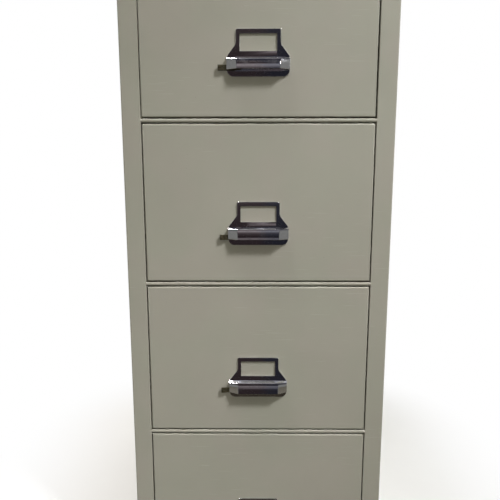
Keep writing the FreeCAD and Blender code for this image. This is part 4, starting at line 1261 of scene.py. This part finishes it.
@dataclass
class ThumbLatch(DrawerPart):
    """The thumb latch: a grip on a thin tab, the stem through the face and the bolt bar behind it.

    Places on it are given across from the pull's middle, in front of the face and above the
    latch's middle.
    """

    depth: float = 8.0 * MM
    thickness: float = 6.0 * MM
    height: float = 10.0 * MM
    inner: float = 30.0 * MM
    bolt_bevel: float = 3.0 * MM
    rod_radius: float = 2.0 * MM
    stem: Pair = (42.0 * MM, 10.0 * MM)
    stem_height: float = 8.0 * MM
    tab: Pair = (2.8 * MM, 4.8 * MM)
    grip_width: float = 10.5 * MM
    thumb_left: float = 76.4 * MM
    groove_half: float = 0.55 * MM
    groove_depth: float = 0.6 * MM
    bar_edge: float = 0.5 * MM
    edge: float = 0.4 * MM
    grip_edge: float = 0.7 * MM

    def build(self) -> None:
        """Builds the latch and puts it on its body."""
        low, high = self.box("thumb_latch")
        handle_low, handle_high = self.box("handle")
        self.middle = (handle_low.x + handle_high.x) / 2
        self.front = handle_high.y
        self.centre = (low.z + high.z) / 2
        half = (high.z - low.z) / 2
        stem_left, stem_half = -self.stem[0], self.stem_height / 2
        bar = self.bar(low.x)
        rod_depth = -self.depth - self.thickness / 2
        rod_ends = self.at(-self.inner, rod_depth, 0), self.at(high.x - self.middle, rod_depth, 0)
        rod = Workpiece.rod("rod", *rod_ends, self.rod_radius, 24)
        stem = self.block(
            "stem", (stem_left, self.tab[1], -stem_half), (stem_left + self.stem[1], -self.depth, stem_half)
        )
        tab = self.block("tab", (-self.thumb_left, self.tab[0], -half), (stem_left, self.tab[1], half))
        for piece in (rod, stem, tab):
            piece.soften(self.edge)
        bar.join(rod, stem, tab, self.grip(self.front - low.y, half))
        self.hand_in(bar, "bronze", "thumb_latch", "latch")

    def at(self, across: float, reach: float, up: float) -> Vector:
        """Gives a point by its place on the latch."""
        return Vector((self.middle + across, self.front - reach, self.centre + up))

    def block(self, name: str, corner: Numbers, opposite: Numbers) -> Workpiece:
        """Starts a piece from a block between two places."""
        return Workpiece.block(name, self.at(*corner), self.at(*opposite))

    def bar(self, tip: float) -> Workpiece:
        """Makes the bolt bar, its tip bevelled towards the jamb.

        Args:
            tip: where the bolt ends.

        Returns:
            The bar.
        """
        half, depth = self.height / 2, self.depth + self.thickness
        left, rear = tip - self.middle, self.front + depth
        bar = self.block(self.name("latch_slide"), (left, -self.depth, -half), (-self.inner, -depth, half))
        with bar.shaping():
            bar.round(lambda at, way, turn: near(at.x, tip) and near(at.y, rear), self.bolt_bevel, 1)
        bar.soften(self.bar_edge)
        return bar

    def grip(self, reach: float, half: float) -> Workpiece:
        """Makes the raised grip, with a level groove across it.

        Args:
            reach: how far forward it comes.
            half: half its height.

        Returns:
            The grip.
        """
        left = -self.thumb_left
        grip = self.block("grip", (left, self.tab[1], -half), (left + self.grip_width, reach, half))
        with grip.shaping():
            for up in (-self.groove_half, self.groove_half):
                grip.slice(self.at(0, 0, up), Z)
            grip.pick(Kind.FACE, lambda at, way: way.y < -ALONG and near(at.z, self.centre))
            grip.extrude(0, self.groove_depth, 0)
        grip.soften(self.grip_edge, 3)
        return grip


@dataclass
class LatchSpring(DrawerPart):
    """The coil between the latch bar and its bracket, which shortens as the latch is pulled."""

    wire: float = 0.4 * MM
    turns: int = 7
    steps: int = 24
    travel: float = 6.0 * MM

    def build(self) -> None:
        """Winds the spring."""
        low, high = self.box("latch_spring")
        middle = (low + high) / 2
        length = high.x - low.x
        start = (0, 0, (high.z - low.z) / 2 - self.wire)
        deselect()
        bpy.ops.mesh.primitive_circle_add(
            vertices=8, radius=self.wire, location=start, rotation=(math.pi / 2, 0, 0)
        )
        spring = Workpiece(self.name("spring_coil"))
        spring.modifier(
            "SCREW",
            axis="X",
            screw_offset=(length - 2 * self.wire) / self.turns,
            iterations=self.turns,
            steps=self.steps,
            render_steps=self.steps,
            use_normal_calculate=True,
        )
        with spring.shaping():
            spring.move(low.x + self.wire, middle.y, middle.z)
            bpy.ops.mesh.fill_holes(sides=0)
            spring.face_out()
        self.hand_in(spring, "steel", "latch_spring")
        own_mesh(spring.item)


# The studio

# The hall that bright metal sees: grey levels from 0 to 255 by the elevation in degrees.
HALL_BANDS = (
    (-90, 150), (-76, 110), (-60, 55), (-34, 40), (-10, 60),
    (20, 90), (55, 50), (80, 45), (84, 200), (88, 250),
)

# The card beside the camera: grey levels by the height in metres.
CARD_BANDS = (
    (0.00, 45), (0.60, 40), (0.78, 50), (0.83, 95), (0.92, 90), (1.00, 120), (1.06, 115), (1.18, 30),
    (1.58, 60), (1.75, 85), (2.10, 145), (2.40, 75), (2.70, 40), (3.00, 40), (3.03, 150), (3.12, 140),
    (3.16, 45),
)


@dataclass
class Studio:
    """Floor, surroundings, lamps and camera."""

    floor_half: float = 9.0
    floor_drop: float = 0.3 * MM
    focal_pixels: float = 488.5
    frame_pixels: float = 500.0
    sensor: float = 36.0
    eye: Triple = (-0.0087, -1.2837, 0.9018)
    pitch: float = 9.165
    yaw: float = 0.465
    roll: float = -0.046
    clip: Pair = (0.01, 100.0)
    target: Triple = (0.0, -0.318, 0.75)
    aim: Triple = (-0.01, -0.318, 0.60)
    beam: float = 24.0
    card_half: float = 0.55
    card_top: float = 3.3
    card_edge: float = 0.12
    card_back: float = 0.04
    card_fall: float = 0.92

    def build(self) -> None:
        """Builds the studio."""
        self.build_camera()
        self.build_floor()
        self.build_hall()
        self.build_card()
        self.build_lamps()

    def build_camera(self) -> None:
        """Stands the camera where the photograph was taken from."""
        deselect()
        bpy.ops.object.camera_add(location=self.eye)
        camera = bpy.context.active_object
        camera.name = "viewpoint"
        camera.data.sensor_width = self.sensor
        camera.data.lens = self.sensor * self.focal_pixels / self.frame_pixels
        turn = (
            Matrix.Rotation(math.radians(self.yaw), 4, "Z")
            @ Matrix.Rotation(math.radians(90 - self.pitch), 4, "X")
            @ Matrix.Rotation(math.radians(self.roll), 4, "Z")
        )
        camera.rotation_euler = turn.to_euler()
        camera.data.clip_start, camera.data.clip_end = self.clip
        bpy.context.scene.camera = camera

    def build_floor(self) -> None:
        """Lays a pale floor that keeps the shadow near the cabinet and goes white further out; bright metal
        sees a painted reflection of a dim room on it.
        """
        deselect()
        bpy.ops.mesh.primitive_grid_add(
            x_subdivisions=8, y_subdivisions=8, size=2 * self.floor_half, location=(0, 0, -self.floor_drop)
        )
        floor = adopt("floor")
        floor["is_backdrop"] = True
        material = bpy.data.materials.new("pale_floor")
        floor.data.materials.append(material)
        bench = Bench(material)
        across, back, up = bench.axes()
        low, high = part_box("case_shell")
        half = (high - low) / 2
        beside = (abs(across) - half.x).at_least(0.0)
        beyond = (abs(back) - half.y).at_least(0.0)
        far = bench.fade((beside * beside + beyond * beyond) ** 0.5, 0.02, 0.55)
        rear = bench.fade(back, -0.25, 0.35)
        # Painted reflection: bright metal sees the floor as a dim room ahead of the cabinet, greyer to the
        # sides and pale grey behind it; other bounces see a dim grey.
        painted_reflection_ahead = bench.blend(bench.fade(abs(across), 0.30, 0.75), tone(52, 48, 42), tone(116, 113, 106))
        camera = bench.ray("Camera")
        mirror = bench.ray("Glossy") + bench.ray("Transmission")
        bounce = bench.blend(mirror, grey(0.26), bench.blend(rear, painted_reflection_ahead, grey(0.8)))
        colour = bench.blend(camera, bounce, bench.tint(grey(0.80), 0.985 + 0.03 * bench.noise(14.0)))
        lit = bench.add("BsdfDiffuse", {"Color": colour})
        white = bench.add("Emission", {"Color": grey(1.0), "Strength": 1.0})
        bench.surface(bench.add("MixShader", {0: (camera + mirror * rear) * far, 1: lit, 2: white}))

    def build_hall(self) -> None:
        """Surrounds the scene: white to the eye, soft light on the object, a dim hall in bright metal."""
        world = bpy.data.worlds.new("hall")
        bpy.context.scene.world = world
        bench = Bench(world)
        across, back, up = bench.axes("Generated")
        behind = bench.fade(back, -0.10, 0.30)
        streaks = bench.noise(2.4, stretch=(1.2, 1.2, 9.0), way="Generated")
        height = 0.5 + up.arcsine() * (1 / math.pi)
        levels = bench.ramp(height, [(0.5 + angle / 180, cool(level)) for angle, level in HALL_BANDS])
        hall = bench.tint(levels, bench.fade(streaks, 0.30, 0.70, 0.6, 1.5))
        sides = bench.fade(abs(across), 0.30, 0.50)
        hall = bench.blend(sides * 0.85, hall, tone(134, 134, 130))
        hall = bench.blend(behind, hall, grey(1.0))
        soft = bench.blend(behind, tone(196, 194, 178), tone(236, 234, 226))
        mirror = bench.ray("Glossy") + bench.ray("Transmission")
        shown = bench.blend(bench.ray("Camera"), bench.blend(mirror, soft, hall), grey(1.0))
        bench.surface(bench.add("Background", {"Color": shown, "Strength": 1.0}), "OutputWorld")

    def build_card(self) -> None:
        """Stands a card beside the camera that only bright metal sees, dim and banded like a store room."""
        deselect()
        bpy.ops.mesh.primitive_grid_add(
            x_subdivisions=4,
            y_subdivisions=12,
            size=1.0,
            location=(0, self.eye[1] - self.card_back, self.card_top / 2),
            rotation=(math.pi / 2, 0, 0),
        )
        bpy.context.active_object.scale = (2 * self.card_half, self.card_top, 1)
        card = adopt("card")
        card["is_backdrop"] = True
        material = bpy.data.materials.new("store_room_card")
        card.data.materials.append(material)
        bench = Bench(material)
        across, back, up = bench.axes()
        height = up * (1 / self.card_top)
        places = [(place / self.card_top, level) for place, level in CARD_BANDS]
        left = bench.ramp(height, [(place, warm(level)) for place, level in places])
        right = bench.ramp(height, [(place, cool(level * self.card_fall)) for place, level in places])
        drift = bench.noise(2.2, detail=1.0) - 0.5
        seen = bench.blend(bench.fade(across + drift * 0.14, 0.012, 0.052), left, right)
        edge = bench.fade(abs(across), self.card_half - self.card_edge, self.card_half)
        light = bench.add("Emission", {"Color": seen, "Strength": 1.0})
        clear = bench.add("BsdfTransparent")
        bench.surface(bench.add("MixShader", {0: bench.ray("Glossy") * (1 - edge), 1: clear, 2: light}))

    def build_lamps(self) -> None:
        """Hangs a key lamp at the upper right, whose beam fades outwards, and a steep one above."""
        key = self.lamp("key", (1.2, -1.0, 2.0), 5.0, (0.8, 0.8), 7.4, (0.98, 0.975, 1.0))
        key.rotation_euler = (key.location - Vector(self.aim)).to_track_quat("Z", "Y").to_euler()
        key.data.spread = math.radians(self.beam)
        self.lamp("ceiling", (-2.4, -1.0, 9.3), 4.5, (0.5, 1.5), 132.0, (1.0, 0.95, 0.96))

    def lamp(
        self, name: str, way: Numbers, distance: float, size: Numbers, power: float, colour: Numbers
    ) -> bpy.types.Object:
        """Hangs an area lamp that looks at the middle of the picture.

        Args:
            name: the lamp's name.
            way: from the middle to the lamp.
            distance: how far it hangs.
            size: its width and length.
            power: in watts.
            colour: the light's colour.

        Returns:
            The lamp.
        """
        deselect()
        direction = Vector(way).normalized()
        bpy.ops.object.light_add(type="AREA", location=Vector(self.target) + direction * distance)
        lamp = bpy.context.active_object
        lamp.name = name
        lamp.rotation_euler = direction.to_track_quat("Z", "Y").to_euler()
        lamp.data.shape = "RECTANGLE"
        lamp.data.size, lamp.data.size_y = size
        lamp.data.energy = power
        lamp.data.color = colour
        lamp.visible_camera = False
        return lamp


def write_size() -> None:
    """Works out the CAD box and the visual model's box beside each other, and keeps them nowhere."""
    boxes = {"cad": CAD_BOX, "visual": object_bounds()}
    {name: [list(corner) for corner in box] for name, box in boxes.items()}


def main() -> None:
    """Builds the studio and the cabinet in order."""
    logging.basicConfig(level=logging.INFO, format="%(message)s")
    bpy.context.scene.view_settings.view_transform = "Standard"
    Studio().build()
    shop = Paintshop()
    Case(shop).build()
    for number in DRAWERS:
        for part in (Face, Pull, ThumbLatch, LatchSpring):
            part(shop, number).build()
    shop.dress_nodes()
    write_size()


if __name__ == "__main__":
    main()
